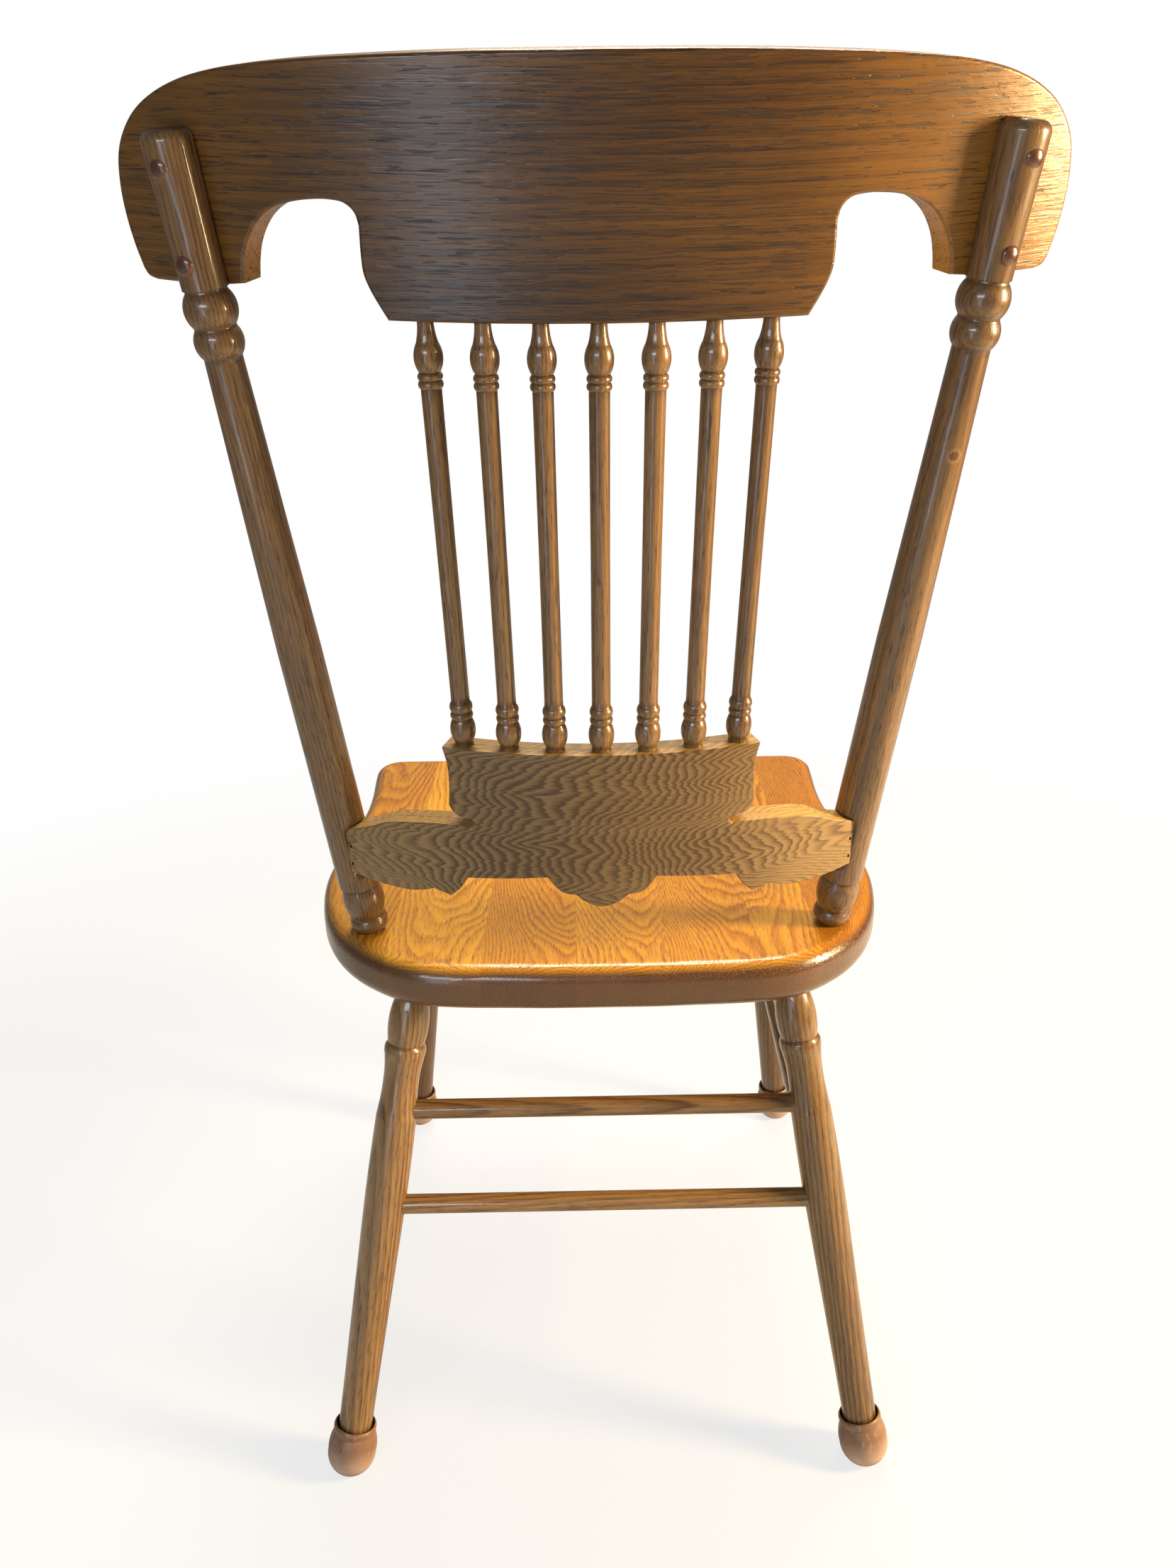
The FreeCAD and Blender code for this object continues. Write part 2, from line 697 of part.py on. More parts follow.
def build_seat(mortises):
    """The seat's staves: one shaped board, cut along its glue joints."""
    board = cut(build_seat_blank(), [build_scoop()] + mortises)
    outside = cell("seat_half_width") + 10
    lines = [outside] + [cell(f"stave_joint_{letter}") for letter in "abcdef"] + [outside * -1]
    tall = cell("seat_thickness") + 20
    deep = cell("seat_depth") + 20
    for number, (left, right) in enumerate(zip(lines, lines[1:]), start=1):
        name = f"seat_stave_{number}"
        corner = spot(right.value, -10, seat_underside - 10)
        strip = block(name + "_strip", left - right, deep, tall, Placement(corner, Rotation()))
        stave = doc.addObject("Part::Common", name)
        stave.Base = board
        stave.Tool = strip
        keep(stave, name)


def post_profile():
    """The turned outline of a back post, from its tenon's end up."""
    tenon = cell("post_tenon_length")

    def up(alias):
        return tenon + cell(alias)

    groove = cell("post_groove_width")
    groove_radius = cell("post_groove_radius")
    return [
        (Length(0, "0"), cell("post_tenon_radius"), None),
        (up("post_foot_station"), cell("post_tenon_radius"), None),
        (up("post_foot_station"), cell("post_foot_radius"), cell("post_low_bead_swell")),
        (up("post_low_bead_end"), groove_radius, None),
        (up("post_low_bead_end") + groove, groove_radius, cell("post_low_ball_swell")),
        (up("post_low_ball_end"), cell("post_low_ball_radius"), None),
        (up("post_shaft_start"), cell("post_shaft_radius"), None),
        (up("post_middle_station"), cell("post_middle_radius"), None),
        (up("post_shaft_end"), cell("post_shaft_end_radius"), None),
        (up("post_shaft_end") + groove, groove_radius, cell("post_high_bead_swell")),
        (up("post_high_bead_end"), groove_radius, None),
        (up("post_high_bead_end") + groove, groove_radius, cell("post_high_ball_swell")),
        (up("post_high_ball_end"), cell("post_high_ball_radius"), None),
        (up("post_head_start"), cell("post_head_low_radius"), None),
        (up("post_length") - cell("post_head_round"), cell("post_head_high_radius"), cell("post_head_round") / 4),
        (up("post_length"), cell("post_head_high_radius") - cell("post_head_round"), None),
    ]


def crest_normal(hand):
    """The direction square to the crest's rear face where a post lies on it."""
    return mirror(crest.normal(head_middle.x, crest_flat_radius), hand)


def splat_end_normal(hand):
    """The direction from a post to the end of the splat, square to the post."""
    square = splat.normal(splat_end.x, splat_end_radius)
    axis = post_direction
    normal = square.cross(splat.upward)
    normal = normal if normal.x < 0 else normal * -1
    return mirror((normal - axis * normal.dot(axis)).normalize(), hand)


def notch_stations():
    """The stretch of a post that the end of the splat needs, with a margin at each end."""
    rise = size("splat_end_rise")
    corners = [splat.point(splat_end.x, up, inset)
               for up in (size("splat_end_bottom") - rise, size("splat_end_top") + rise)
               for inset in (0, 2 * size("splat_ply"))]
    stations = [(corner - post_axis(0, LEFT)).dot(post_direction) for corner in corners]
    margin = size("post_notch_margin")
    return min(stations) - margin, max(stations) + margin


def splat_trim(hand):
    """The space beyond the joint between the splat and a post."""
    axis = mirror(post_direction, hand)
    towards = splat_end_normal(hand) * -1
    half = 60.0
    start = post_axis(splat_end_station - half, hand) - towards * size("post_splat_flat_offset")
    place = aligned(start, axis, towards)
    corner = place.multiply(Placement(Vector(0, -half, 0), Rotation()))
    return block(f"splat_trim_{hand_name(hand)}", half, half * 2, half * 2, corner)


def hand_name(hand):
    """The name of a side, as the sitter sees it."""
    return "left" if hand == LEFT else "right"


def post_flats(hand):
    """The spaces that leave the two flats of a post: one for the crest and one for the splat's end."""
    axis = mirror(post_direction, hand)
    wide = size("post_head_high_radius") * 2
    head_place = aligned(post_axis(size("post_head_start"), hand), axis, crest_normal(hand) * -1)
    head_corner = head_place.multiply(Placement(Vector(size("post_flat_offset"), -wide / 2, 0), Rotation()))
    head_tall = cell("post_length") - cell("post_head_start") + cell("end_gap")
    head = block(f"post_head_flat_{hand_name(hand)}", wide, wide, head_tall, head_corner)
    low, high = notch_stations()
    notch_place = aligned(post_axis(low, hand), axis, splat_end_normal(hand))
    notch_corner = notch_place.multiply(Placement(Vector(size("post_splat_flat_offset"), -wide / 2, 0), Rotation()))
    notch = block(f"post_notch_{hand_name(hand)}", wide, wide, high - low, notch_corner)
    return [head, notch]


def post_mortise(hand):
    """The hole for a post's tenon in the seat's top."""
    axis = mirror(post_direction, hand)
    depth = cell("post_tenon_length") + cell("end_gap")
    above = 12.0
    return rod(f"back_post_{hand_name(hand)}_mortise", cell("post_tenon_radius") + cell("glue_gap"), depth + above,
               aligned(post_axis(-depth.value, hand), axis))


def plug_seat():
    """How far behind the post's axis the underside of a plug's head lies."""
    low, head = cell("post_head_low_radius"), cell("plug_head_radius")
    return Length(math.sqrt(low.value ** 2 - head.value ** 2), f"sqrt({low.text}^2 - {head.text}^2)")


def crest_fixings(hand, alias):
    """One plug and one screw of the crest, with the bores that hold them in the post and the crest."""
    name = f"{alias}_{hand_name(hand)}"
    gap = cell("glue_gap")
    outward = crest_normal(hand)
    centre = post_axis(size(f"fastener_{alias}_station"), hand)
    seat = plug_seat()
    stem, rise = cell("plug_stem_length"), cell("plug_head_rise")
    head_radius, stem_radius = cell("plug_head_radius"), cell("plug_stem_radius")
    plug = turned("plug_" + name, [
        (Length(0, "0"), stem_radius, None),
        (stem, stem_radius, None),
        (stem, head_radius, rise / 3),
        (stem + rise, head_radius / 4, None),
    ], aligned(centre + outward * (seat - stem).value, outward))
    head_length = cell("screw_head_length")
    bore_bottom = seat - cell("plug_bore_depth") - head_length
    head_top = bore_bottom + head_length
    inward = outward * -1
    shank = cell("screw_shank_radius")
    screw = turned("screw_" + name, [
        (Length(0, "0"), cell("screw_head_radius"), None),
        (head_length, cell("screw_head_radius"), None),
        (head_length, shank, None),
        (cell("screw_length") - cell("screw_point"), shank, None),
        (cell("screw_length"), shank / 6, None),
    ], aligned(centre + outward * head_top.value, inward))
    wide = 12.0
    spot_face = rod("spot_face_" + name, head_radius + gap, wide, aligned(centre + outward * seat.value, outward))
    plug_bore = rod("plug_bore_" + name, stem_radius + gap, cell("plug_bore_depth") + head_length + wide,
                    aligned(centre + outward * bore_bottom.value, outward))
    pilot_length = cell("screw_length") + cell("end_gap")
    pilot = rod("pilot_" + name, shank + gap, pilot_length, aligned(centre + outward * head_top.value, inward))
    return plug, screw, [spot_face, plug_bore, pilot], pilot


def splat_brad(hand, alias):
    """One brad, driven askew through the end of the splat into a post, and its hole."""
    name = f"{alias}_{hand_name(hand)}"
    along = size("post_splat_flat_offset") + size("brad_beside_joint")
    angle = math.asin(splat_end.x / splat_end_radius) - along / splat_radius
    start = mirror(splat.point(splat_radius * math.sin(angle), size(f"brad_{alias}_up"), 0), hand)
    outward = mirror(splat.normal(splat_end.x, splat_end_radius), hand)
    slant = math.radians(size("brad_slant"))
    direction = splat_end_normal(hand) * -math.cos(slant) - outward * math.sin(slant)
    head_length = cell("brad_head_length")
    brad = turned("brad_" + name, [
        (Length(0, "0"), cell("brad_head_radius"), None),
        (head_length, cell("brad_head_radius"), None),
        (head_length, cell("brad_shank_radius"), None),
        (cell("brad_length"), cell("brad_shank_radius") / 2, None),
    ], aligned(start, direction))
    gap = cell("glue_gap") / 2
    outside = 6.0
    opening = aligned(start - direction * outside, direction)
    hole = rod("brad_hole_" + name, cell("brad_shank_radius") + gap,
               cell("brad_length") + cell("end_gap") + outside, opening)
    sink = rod("brad_sink_" + name, cell("brad_head_radius") + gap, head_length + gap + outside, opening)
    return brad, [hole, sink]


def crest_half_outline():
    """The left half of the crest's outline, from the middle of its lower edge round to its top."""
    panel, low = size("crest_panel_half_length"), size("crest_panel_bottom")
    throat, arch = size("crest_throat_half_length"), size("crest_arch_top")
    outer, pad = size("crest_arch_outer"), size("crest_pad_bottom")
    end, top = size("crest_half_length"), size("crest_top")
    return [
        [(0, low), (panel, low)],
        [(panel, low), (panel + 6.5, low + 11), (throat - 2.7, low + 18), (throat - 0.4, low + 25),
         (throat, low + 34), (throat - 0.6, arch - 12.4)],
        [(throat - 0.6, arch - 12.4), (throat + 1.1, arch - 6.2), (throat + 6.3, arch - 1.6),
         (throat + 16, arch), (outer - 49, arch - 0.3), (outer - 39, arch - 1.6), (outer - 29, arch - 4.2),
         (outer - 21, arch - 8.2), (outer - 14, arch - 13.9), (outer - 8.5, arch - 20.9),
         (outer - 4.5, arch - 28.4), (outer - 1.7, arch - 37.4), (outer, pad + 1.6)],
        [(outer, pad + 1.6), (outer + 13, pad + 0.3), (outer + 29, pad), (outer + 50, pad - 0.9),
         (end - 15, pad - 0.9)],
        [(end - 15, pad - 0.9), (end - 9, pad + 0.8), (end - 6, pad + 5)],
        [(end - 6, pad + 5), (end - 2.5, pad + 17.6), (end - 0.2, pad + 33.6), (end - 0.4, top - 68.5),
         (end - 4, top - 52.5), (end - 10.5, top - 41.5), (end - 21, top - 31), (end - 36, top - 22),
         (end - 56, top - 14.5), (end - 82, top - 9), (end - 117, top - 5.2), (end - 162, top - 2.5),
         (end - 217, top - 0.6), (0, top)],
    ]


def splat_half_outline():
    """The left half of the splat's outline, from its lowest point round to the middle of its top."""
    point, lower = size("splat_point"), size("splat_lower_edge")
    block_side, top = size("splat_block_half_length"), size("splat_top")
    slot_end, slot, half_slot = (size("splat_slot_end"), size("splat_slot_centre"), size("splat_slot_half_width"))
    end_top, end_bottom = size("splat_end_top"), size("splat_end_bottom")
    post_arc = splat_radius * math.asin(splat_end.x / splat_end_radius)
    tail = post_arc + 16
    return [
        [(0, point), (6.2, point + 1.2), (12.2, point + 4.2), (18.8, point + 9.8)],
        [(18.8, point + 9.8), (24.3, point + 10.4), (29, point + 12.2), (33.6, point + 16.6), (38.5, lower)],
        [(38.5, lower), (97.5, lower - 6)],
        [(97.5, lower - 6), (103, lower - 15.3), (111, lower - 23.1)],
        [(111, lower - 23.1), (118, lower - 21.4), (124.5, lower - 19.5)],
        [(124.5, lower - 19.5), (131, lower - 22.2), (144, lower - 25.2), (157, end_bottom - 3.2),
         (172, end_bottom - 3.2), (post_arc - 4, end_bottom), (tail, end_bottom + 5)],
        [(tail, end_bottom + 5), (tail, end_top - 9)],
        [(tail, end_top - 9), (post_arc, end_top), (post_arc - 11, end_top + size("splat_end_rise")),
         (post_arc - 31, end_top + 11.2), (post_arc - 48, end_top + 18.9),
         (130, slot - 5.5), (108, slot - half_slot - 0.4), (slot_end + half_slot, slot - half_slot)],
        [(slot_end + half_slot, slot - half_slot), (slot_end, slot), (slot_end + half_slot, slot + half_slot)],
        [(slot_end + half_slot, slot + half_slot), (block_side - 6.5, slot + 4.3), (block_side - 2.2, slot + 7.2),
         (block_side + 1, slot + 12.6)],
        [(block_side + 1, slot + 12.6), (block_side, slot + 23), (block_side - 0.4, top - 20),
         (block_side + 0.4, top - 11), (block_side + 3, top)],
        [(block_side + 3, top), (0, top)],
    ]


def spindle_profile(length):
    """The turned outline of a spindle, from its lower tenon up; length is what shows of it."""
    tenon = cell("spindle_foot_tenon")
    neck = cell("spindle_tenon_radius")
    shaft = cell("spindle_shaft_radius")
    bead = cell("spindle_bead_radius")
    swell = cell("spindle_bead_swell")
    foot = tenon + cell("spindle_foot_clear")
    head = tenon + length

    def up(alias):
        return tenon + cell(alias)

    def down(alias):
        return head - cell(alias)

    return [
        (Length(0, "0"), neck, None),
        (foot, neck, None),
        (foot, cell("spindle_foot_radius"), None),
        (up("spindle_low_bulb_start"), shaft, cell("spindle_low_bulb_swell")),
        (up("spindle_low_bulb_end"), bead, swell),
        (up("spindle_low_bead_end"), bead, swell * 1.2),
        (up("spindle_low_ring_end"), shaft, None),
        (tenon + length / 2, cell("spindle_waist_radius"), None),
        (down("spindle_high_ring_drop"), shaft, swell),
        (down("spindle_high_bead_drop"), bead, swell),
        (down("spindle_vase_drop"), shaft, cell("spindle_vase_swell")),
        (down("spindle_vase_end_drop"), cell("spindle_vase_end_radius"), cell("spindle_neck_hollow") * -1),
        (down("spindle_neck_drop"), neck, None),
        (head + cell("spindle_head_tenon"), neck, None),
    ]


def build_spindle(number):
    """One spindle with its two holes: the first in the splat, the second in the crest."""
    place = (SPINDLE_COUNT + 1) / 2 - number
    foot = splat.point(place * size("spindle_foot_pitch"), size("splat_top"), size("splat_ply"))
    head = crest.point(place * size("spindle_head_pitch"), size("crest_panel_bottom"),
                       size("crest_thickness") / 2)
    direction = (head - foot).normalize()
    length = as_length((head - foot).Length)
    name = f"spindle_{number}"
    tenon = size("spindle_foot_tenon")
    keep(turned(name, spindle_profile(length), aligned(foot - direction * tenon, direction)), name)
    hole_radius = cell("spindle_tenon_radius") + cell("glue_gap")
    foot_depth = cell("spindle_foot_tenon") + cell("end_gap")
    head_depth = cell("spindle_head_tenon") + cell("end_gap")
    outside = 5.0
    lower = rod(name + "_foot_hole", hole_radius, foot_depth + outside,
                aligned(foot - direction * foot_depth.value, direction))
    upper = rod(name + "_head_hole", hole_radius, head_depth + outside,
                aligned(head - direction * outside, direction))
    return lower, upper


# Undercarriage
legs = {(end, hand): Leg(end, hand) for end in ("front", "rear") for hand in (LEFT, RIGHT)}
for level in ("upper", "lower"):
    for end in ("front", "rear"):
        build_stretcher(f"{end}_stretcher_{level}", legs[end, RIGHT], legs[end, LEFT],
                        size(f"{end}_stretcher_{level}_height"))
    for hand in (LEFT, RIGHT):
        build_stretcher(f"{hand_name(hand)}_stretcher_{level}", legs["front", hand], legs["rear", hand],
                        size(f"side_stretcher_{level}_height"))
for leg in legs.values():
    leg.build()
    leg.build_cap()

# Seat
build_seat([leg.mortise() for leg in legs.values()] + [post_mortise(hand) for hand in (LEFT, RIGHT)])

# Back
plugs, screws, brads, crest_bores, brad_bores = [], [], [], [], []
for hand in (LEFT, RIGHT):
    post_bores = post_flats(hand)
    for alias in ("low", "high"):
        plug, screw, bores, pilot = crest_fixings(hand, alias)
        plugs.append(plug)
        screws.append(screw)
        post_bores += bores
        crest_bores.append(pilot)
        brad, holes = splat_brad(hand, alias)
        brads.append(brad)
        post_bores += holes[:1]
        brad_bores += holes
    tenon_end = post_axis(-size("post_tenon_length"), hand)
    blank = turned(f"back_post_{hand_name(hand)}_turned", post_profile(),
                   aligned(tenon_end, mirror(post_direction, hand)))
    keep(cut(blank, post_bores), f"back_post_{hand_name(hand)}")

spindle_holes = [build_spindle(number) for number in range(1, SPINDLE_COUNT + 1)]
foot_holes = [lower for lower, _ in spindle_holes]
head_holes = [upper for _, upper in spindle_holes]

crest_blank = bent_piece("crest_blank", crest, crest_half_outline(), cell("crest_bend_radius"),
                         cell("crest_bend_radius") - cell("crest_thickness"))
keep(cut(crest_blank, head_holes + crest_bores), "crest_rail")

trims = [splat_trim(hand) for hand in (LEFT, RIGHT)]
ply_faces = [cell("splat_bend_radius") - cell("splat_ply") * count for count in range(3)]
for label, outer, inner, own_bores in (("splat_rear_ply", *ply_faces[:2], brad_bores),
                                       ("splat_front_ply", *ply_faces[1:], [])):
    blank = bent_piece(label + "_blank", splat, splat_half_outline(), outer, inner)
    keep(cut(blank, trims + foot_holes + own_bores), label)

keep(joined("plug_group", plugs), "button_plugs")
keep(joined("screw_group", screws), "back_screws")
keep(joined("brad_group", brads), "splat_brads")

doc.recompute()
for item in doc.Objects:
    if "Invalid" in item.State or "Error" in item.State:
        raise RuntimeError(f"{item.Name} did not build: {item.State}")
for node in nodes:
    if node.Shape.isNull() or not node.Shape.isValid():
        raise RuntimeError(f"{node.Label} has no valid shape")

os.makedirs(NODE_FOLDER, exist_ok=True)
for node in nodes:
    node.Shape.exportStep(os.path.join(NODE_FOLDER, node.Label + ".step"))
    print(f"{node.Label}: {len(node.Shape.Solids)} solid(s), {node.Shape.Volume / 1000:.1f} cm3")
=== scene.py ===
"""Dresses the spindle-back chair: turned oak, two bent boards, a jointed seat and soft foot caps."""
import logging
import math
import random
from dataclasses import dataclass, field, replace
from enum import Enum
from typing import Any, Iterable, Optional, Sequence, Union

import bmesh
import bpy
from mathutils import Matrix, Vector


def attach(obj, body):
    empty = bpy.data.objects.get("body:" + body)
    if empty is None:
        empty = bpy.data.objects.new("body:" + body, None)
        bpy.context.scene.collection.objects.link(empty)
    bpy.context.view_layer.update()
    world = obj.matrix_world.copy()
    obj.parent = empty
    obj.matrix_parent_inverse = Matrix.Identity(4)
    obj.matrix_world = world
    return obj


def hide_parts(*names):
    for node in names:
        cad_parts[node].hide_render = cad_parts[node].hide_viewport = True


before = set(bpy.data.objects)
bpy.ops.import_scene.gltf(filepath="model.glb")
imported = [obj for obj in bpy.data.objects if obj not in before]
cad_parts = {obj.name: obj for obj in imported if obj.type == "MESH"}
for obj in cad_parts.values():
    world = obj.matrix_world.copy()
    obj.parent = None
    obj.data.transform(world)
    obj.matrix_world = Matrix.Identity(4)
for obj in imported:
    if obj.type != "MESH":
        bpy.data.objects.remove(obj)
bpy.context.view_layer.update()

LOG = logging.getLogger("chair")

Colour = tuple[float, float, float]
Place = tuple[float, float]
Row = tuple[float, float, float]

MM = 0.001
CHAIR_DEPTH = 528.074
SEAT_TOP = 442.5
SEAT_THICKNESS = 38.0
ROOT_BODY = "root"
PHOTO_HEIGHT = 2212


class Hand(Enum):
    """A side of the chair, as the sitter sees it."""

    LEFT = 1
    RIGHT = -1

    @property
    def label(self) -> str:
        """The word that the node names use."""
        return self.name.lower()

    def mirror(self, place: Vector) -> Vector:
        """A place given for the left side, on this side."""
        return Vector((place.x * self.value, place.y, place.z))


def spot(across: float, depth: float, height: float) -> Vector:
    """Turns a place in chair sizes into the scene's frame.

    Args:
        across: Millimetres to the sitter's left.
        depth: Millimetres behind the seat's front edge.
        height: Millimetres above the floor.

    Returns:
        The place in the scene, in millimetres from its origin.
    """
    return Vector((across, depth - CHAIR_DEPTH / 2, height))


# ---- shader building ----

class Signal:
    """One output socket of a node tree, on which sums can be written."""

    def __init__(self, recipe: "Recipe", socket: bpy.types.NodeSocket) -> None:
        """Keeps the socket and the tree that it belongs to."""
        self.recipe = recipe
        self.socket = socket

    def _sum(self, operation: str, first: "Value", second: "Value" = 0.0) -> "Signal":
        """Adds one Math node for two values."""
        return self.recipe.node("ShaderNodeMath", {"operation": operation}, {0: first, 1: second})

    def __add__(self, other: "Value") -> "Signal":
        """The sum of two values."""
        return self._sum("ADD", self, other)

    def __radd__(self, other: "Value") -> "Signal":
        """The sum with a number on the left."""
        return self._sum("ADD", other, self)

    def __sub__(self, other: "Value") -> "Signal":
        """The difference of two values."""
        return self._sum("SUBTRACT", self, other)

    def __rsub__(self, other: "Value") -> "Signal":
        """The difference from a number on the left."""
        return self._sum("SUBTRACT", other, self)

    def __mul__(self, other: "Value") -> "Signal":
        """The product of two values."""
        return self._sum("MULTIPLY", self, other)

    def __rmul__(self, other: "Value") -> "Signal":
        """The product with a number on the left."""
        return self._sum("MULTIPLY", other, self)

    def __truediv__(self, other: "Value") -> "Signal":
        """The quotient of two values."""
        return self._sum("DIVIDE", self, other)

    def __pow__(self, other: "Value") -> "Signal":
        """One value to the power of another."""
        return self._sum("POWER", self, other)

    def other(self, output: str) -> "Signal":
        """Another output of the same node."""
        return Signal(self.recipe, self.socket.node.outputs[output])

    def fraction(self) -> "Signal":
        """What is left of the value after its whole part."""
        return self._sum("FRACT", self)

    def held(self) -> "Signal":
        """The value, held between 0 and 1."""
        return self.recipe.node("ShaderNodeClamp", {}, {"Value": self, "Min": 0.0, "Max": 1.0})

    def between(self, low: float, high: float) -> "Signal":
        """A smooth step from 0 at low to 1 at high."""
        return self.recipe.node(
            "ShaderNodeMapRange", {"interpolation_type": "SMOOTHSTEP"},
            {"Value": self, "From Min": low, "From Max": high, "To Min": 0.0, "To Max": 1.0})


Value = Union[Signal, float, int, tuple, Vector]


class Recipe:
    """The node tree of one material, or of the world."""

    def __init__(self, tree: bpy.types.NodeTree) -> None:
        """Takes over a node tree and empties it."""
        self.tree = tree
        tree.nodes.clear()

    @classmethod
    def for_material(cls, name: str) -> tuple["Recipe", bpy.types.Material]:
        """Makes a new material.

        Args:
            name: The material's name.

        Returns:
            The recipe of its node tree, and the material.
        """
        material = bpy.data.materials.new(name)
        material.use_nodes = True
        return cls(material.node_tree), material

    def node(self, kind: str, settings: dict[str, Any], inputs: dict[Any, Value],
             output: Union[int, str] = 0) -> Optional[Signal]:
        """Adds a node.

        Args:
            kind: The node's type.
            settings: Its settings, which are set first; "stops" fills a colour ramp.
            inputs: The values or links of its sockets.
            output: The output socket to return.

        Returns:
            That output as a signal, or nothing where the node has no output.
        """
        made = self.tree.nodes.new(kind)
        for name, setting in settings.items():
            if name == "stops":
                self._fill_ramp(made.color_ramp, setting)
            else:
                setattr(made, name, setting)
        for key, value in inputs.items():
            socket = made.inputs[key]
            if isinstance(value, Signal):
                self.tree.links.new(value.socket, socket)
            elif isinstance(value, tuple) and len(value) == 3 and socket.type == "RGBA":
                socket.default_value = (*value, 1.0)
            else:
                socket.default_value = value
        return Signal(self, made.outputs[output]) if made.outputs else None

    @staticmethod
    def _fill_ramp(ramp: bpy.types.ColorRamp, stops: Sequence[Place]) -> None:
        """Sets the stops of a ramp of greys.

        Args:
            ramp: The ramp.
            stops: The position and the level of each stop.
        """
        while len(ramp.elements) < len(stops):
            ramp.elements.new(0.5)
        for element, (position, level) in zip(ramp.elements, stops):
            element.position = position
            element.color = (level, level, level, 1.0)

    def attribute(self, name: str, output: str) -> Signal:
        """A value that the mesh carries at each of its points."""
        return self.node("ShaderNodeAttribute", {"attribute_name": name}, {}, output)

    def ramp(self, value: Signal, stops: Sequence[Place]) -> Signal:
        """A curve through the given stops."""
        return self.node("ShaderNodeValToRGB", {"stops": stops}, {0: value})

    def noise(self, place: Signal, scale: Colour, detail: float = 2.0, shift: float = 0.0) -> Signal:
        """Soft noise.

        Args:
            place: The coordinates to read it at, in metres.
            scale: How many waves per metre it has along each coordinate.
            detail: How many finer layers it has.
            shift: Moves it, so that two noises differ.

        Returns:
            A signal between 0 and 1.
        """
        scaled = self.node("ShaderNodeVectorMath", {"operation": "MULTIPLY_ADD"},
                           {0: place, 1: Vector(scale), 2: Vector((shift, shift * 1.7, shift * 0.6))})
        return self.node("ShaderNodeTexNoise", {"noise_dimensions": "3D"},
                         {"Vector": scaled, "Scale": 1.0, "Detail": detail, "Roughness": 0.55})

    def split(self, place: Signal) -> tuple[Signal, ...]:
        """The three parts of a vector."""
        first = self.node("ShaderNodeSeparateXYZ", {}, {0: place})
        return tuple(first.other(axis) for axis in "XYZ")

    def stirred(self, place: Signal, scale: Colour, amount: float) -> Signal:
        """Moves coordinates about a little.

        Args:
            place: The coordinates, in metres.
            scale: How many waves per metre the movement has along each of them.
            amount: How far it moves them, in metres.

        Returns:
            The moved coordinates.
        """
        scaled = self.node("ShaderNodeVectorMath", {"operation": "MULTIPLY"}, {0: place, 1: Vector(scale)})
        swirl = self.node("ShaderNodeTexNoise", {"noise_dimensions": "3D"},
                          {"Vector": scaled, "Scale": 1.0, "Detail": 1.0}, "Color")
        centred = self.node("ShaderNodeVectorMath", {"operation": "SUBTRACT"},
                            {0: swirl, 1: Vector((0.5, 0.5, 0.5))})
        return self.node("ShaderNodeVectorMath", {"operation": "MULTIPLY_ADD"},
                         {0: centred, 1: Vector((amount, amount, amount)), 2: place})

    def mix(self, share: Value, first: Value, second: Value) -> Signal:
        """Mixes two colours.

        Args:
            share: How much of the second one shows.
            first: The first colour.
            second: The second colour.

        Returns:
            The mixed colour.
        """
        return self.node("ShaderNodeMix", {"data_type": "RGBA"}, {0: share, 6: first, 7: second}, 2)

    def bump(self, height: Signal, strength: float, distance: float) -> Signal:
        """A surface normal tilted by a height, in metres."""
        return self.node("ShaderNodeBump", {}, {"Height": height, "Strength": strength, "Distance": distance})

    def finish(self, inputs: dict[str, Value]) -> None:
        """Ends a material in a Principled shader with the given sockets."""
        surface = self.node("ShaderNodeBsdfPrincipled", {}, inputs)
        self.node("ShaderNodeOutputMaterial", {"target": "ALL"}, {"Surface": surface})


# ---- finishes ----

PORE_WAVE = 0.62
YEAR_OF_GROWTH = ((0.0, 0.15), (0.12, 1.0), (0.4, 0.5), (0.8, 0.0), (1.0, 0.15))
CAP_MOUTH_SHADE: Colour = (0.05, 0.03, 0.02)
PORE_BROWN: Colour = (0.040, 0.015, 0.006)
KNOT_BROWN: Colour = (0.085, 0.032, 0.010)
VARNISH_IOR = 1.5


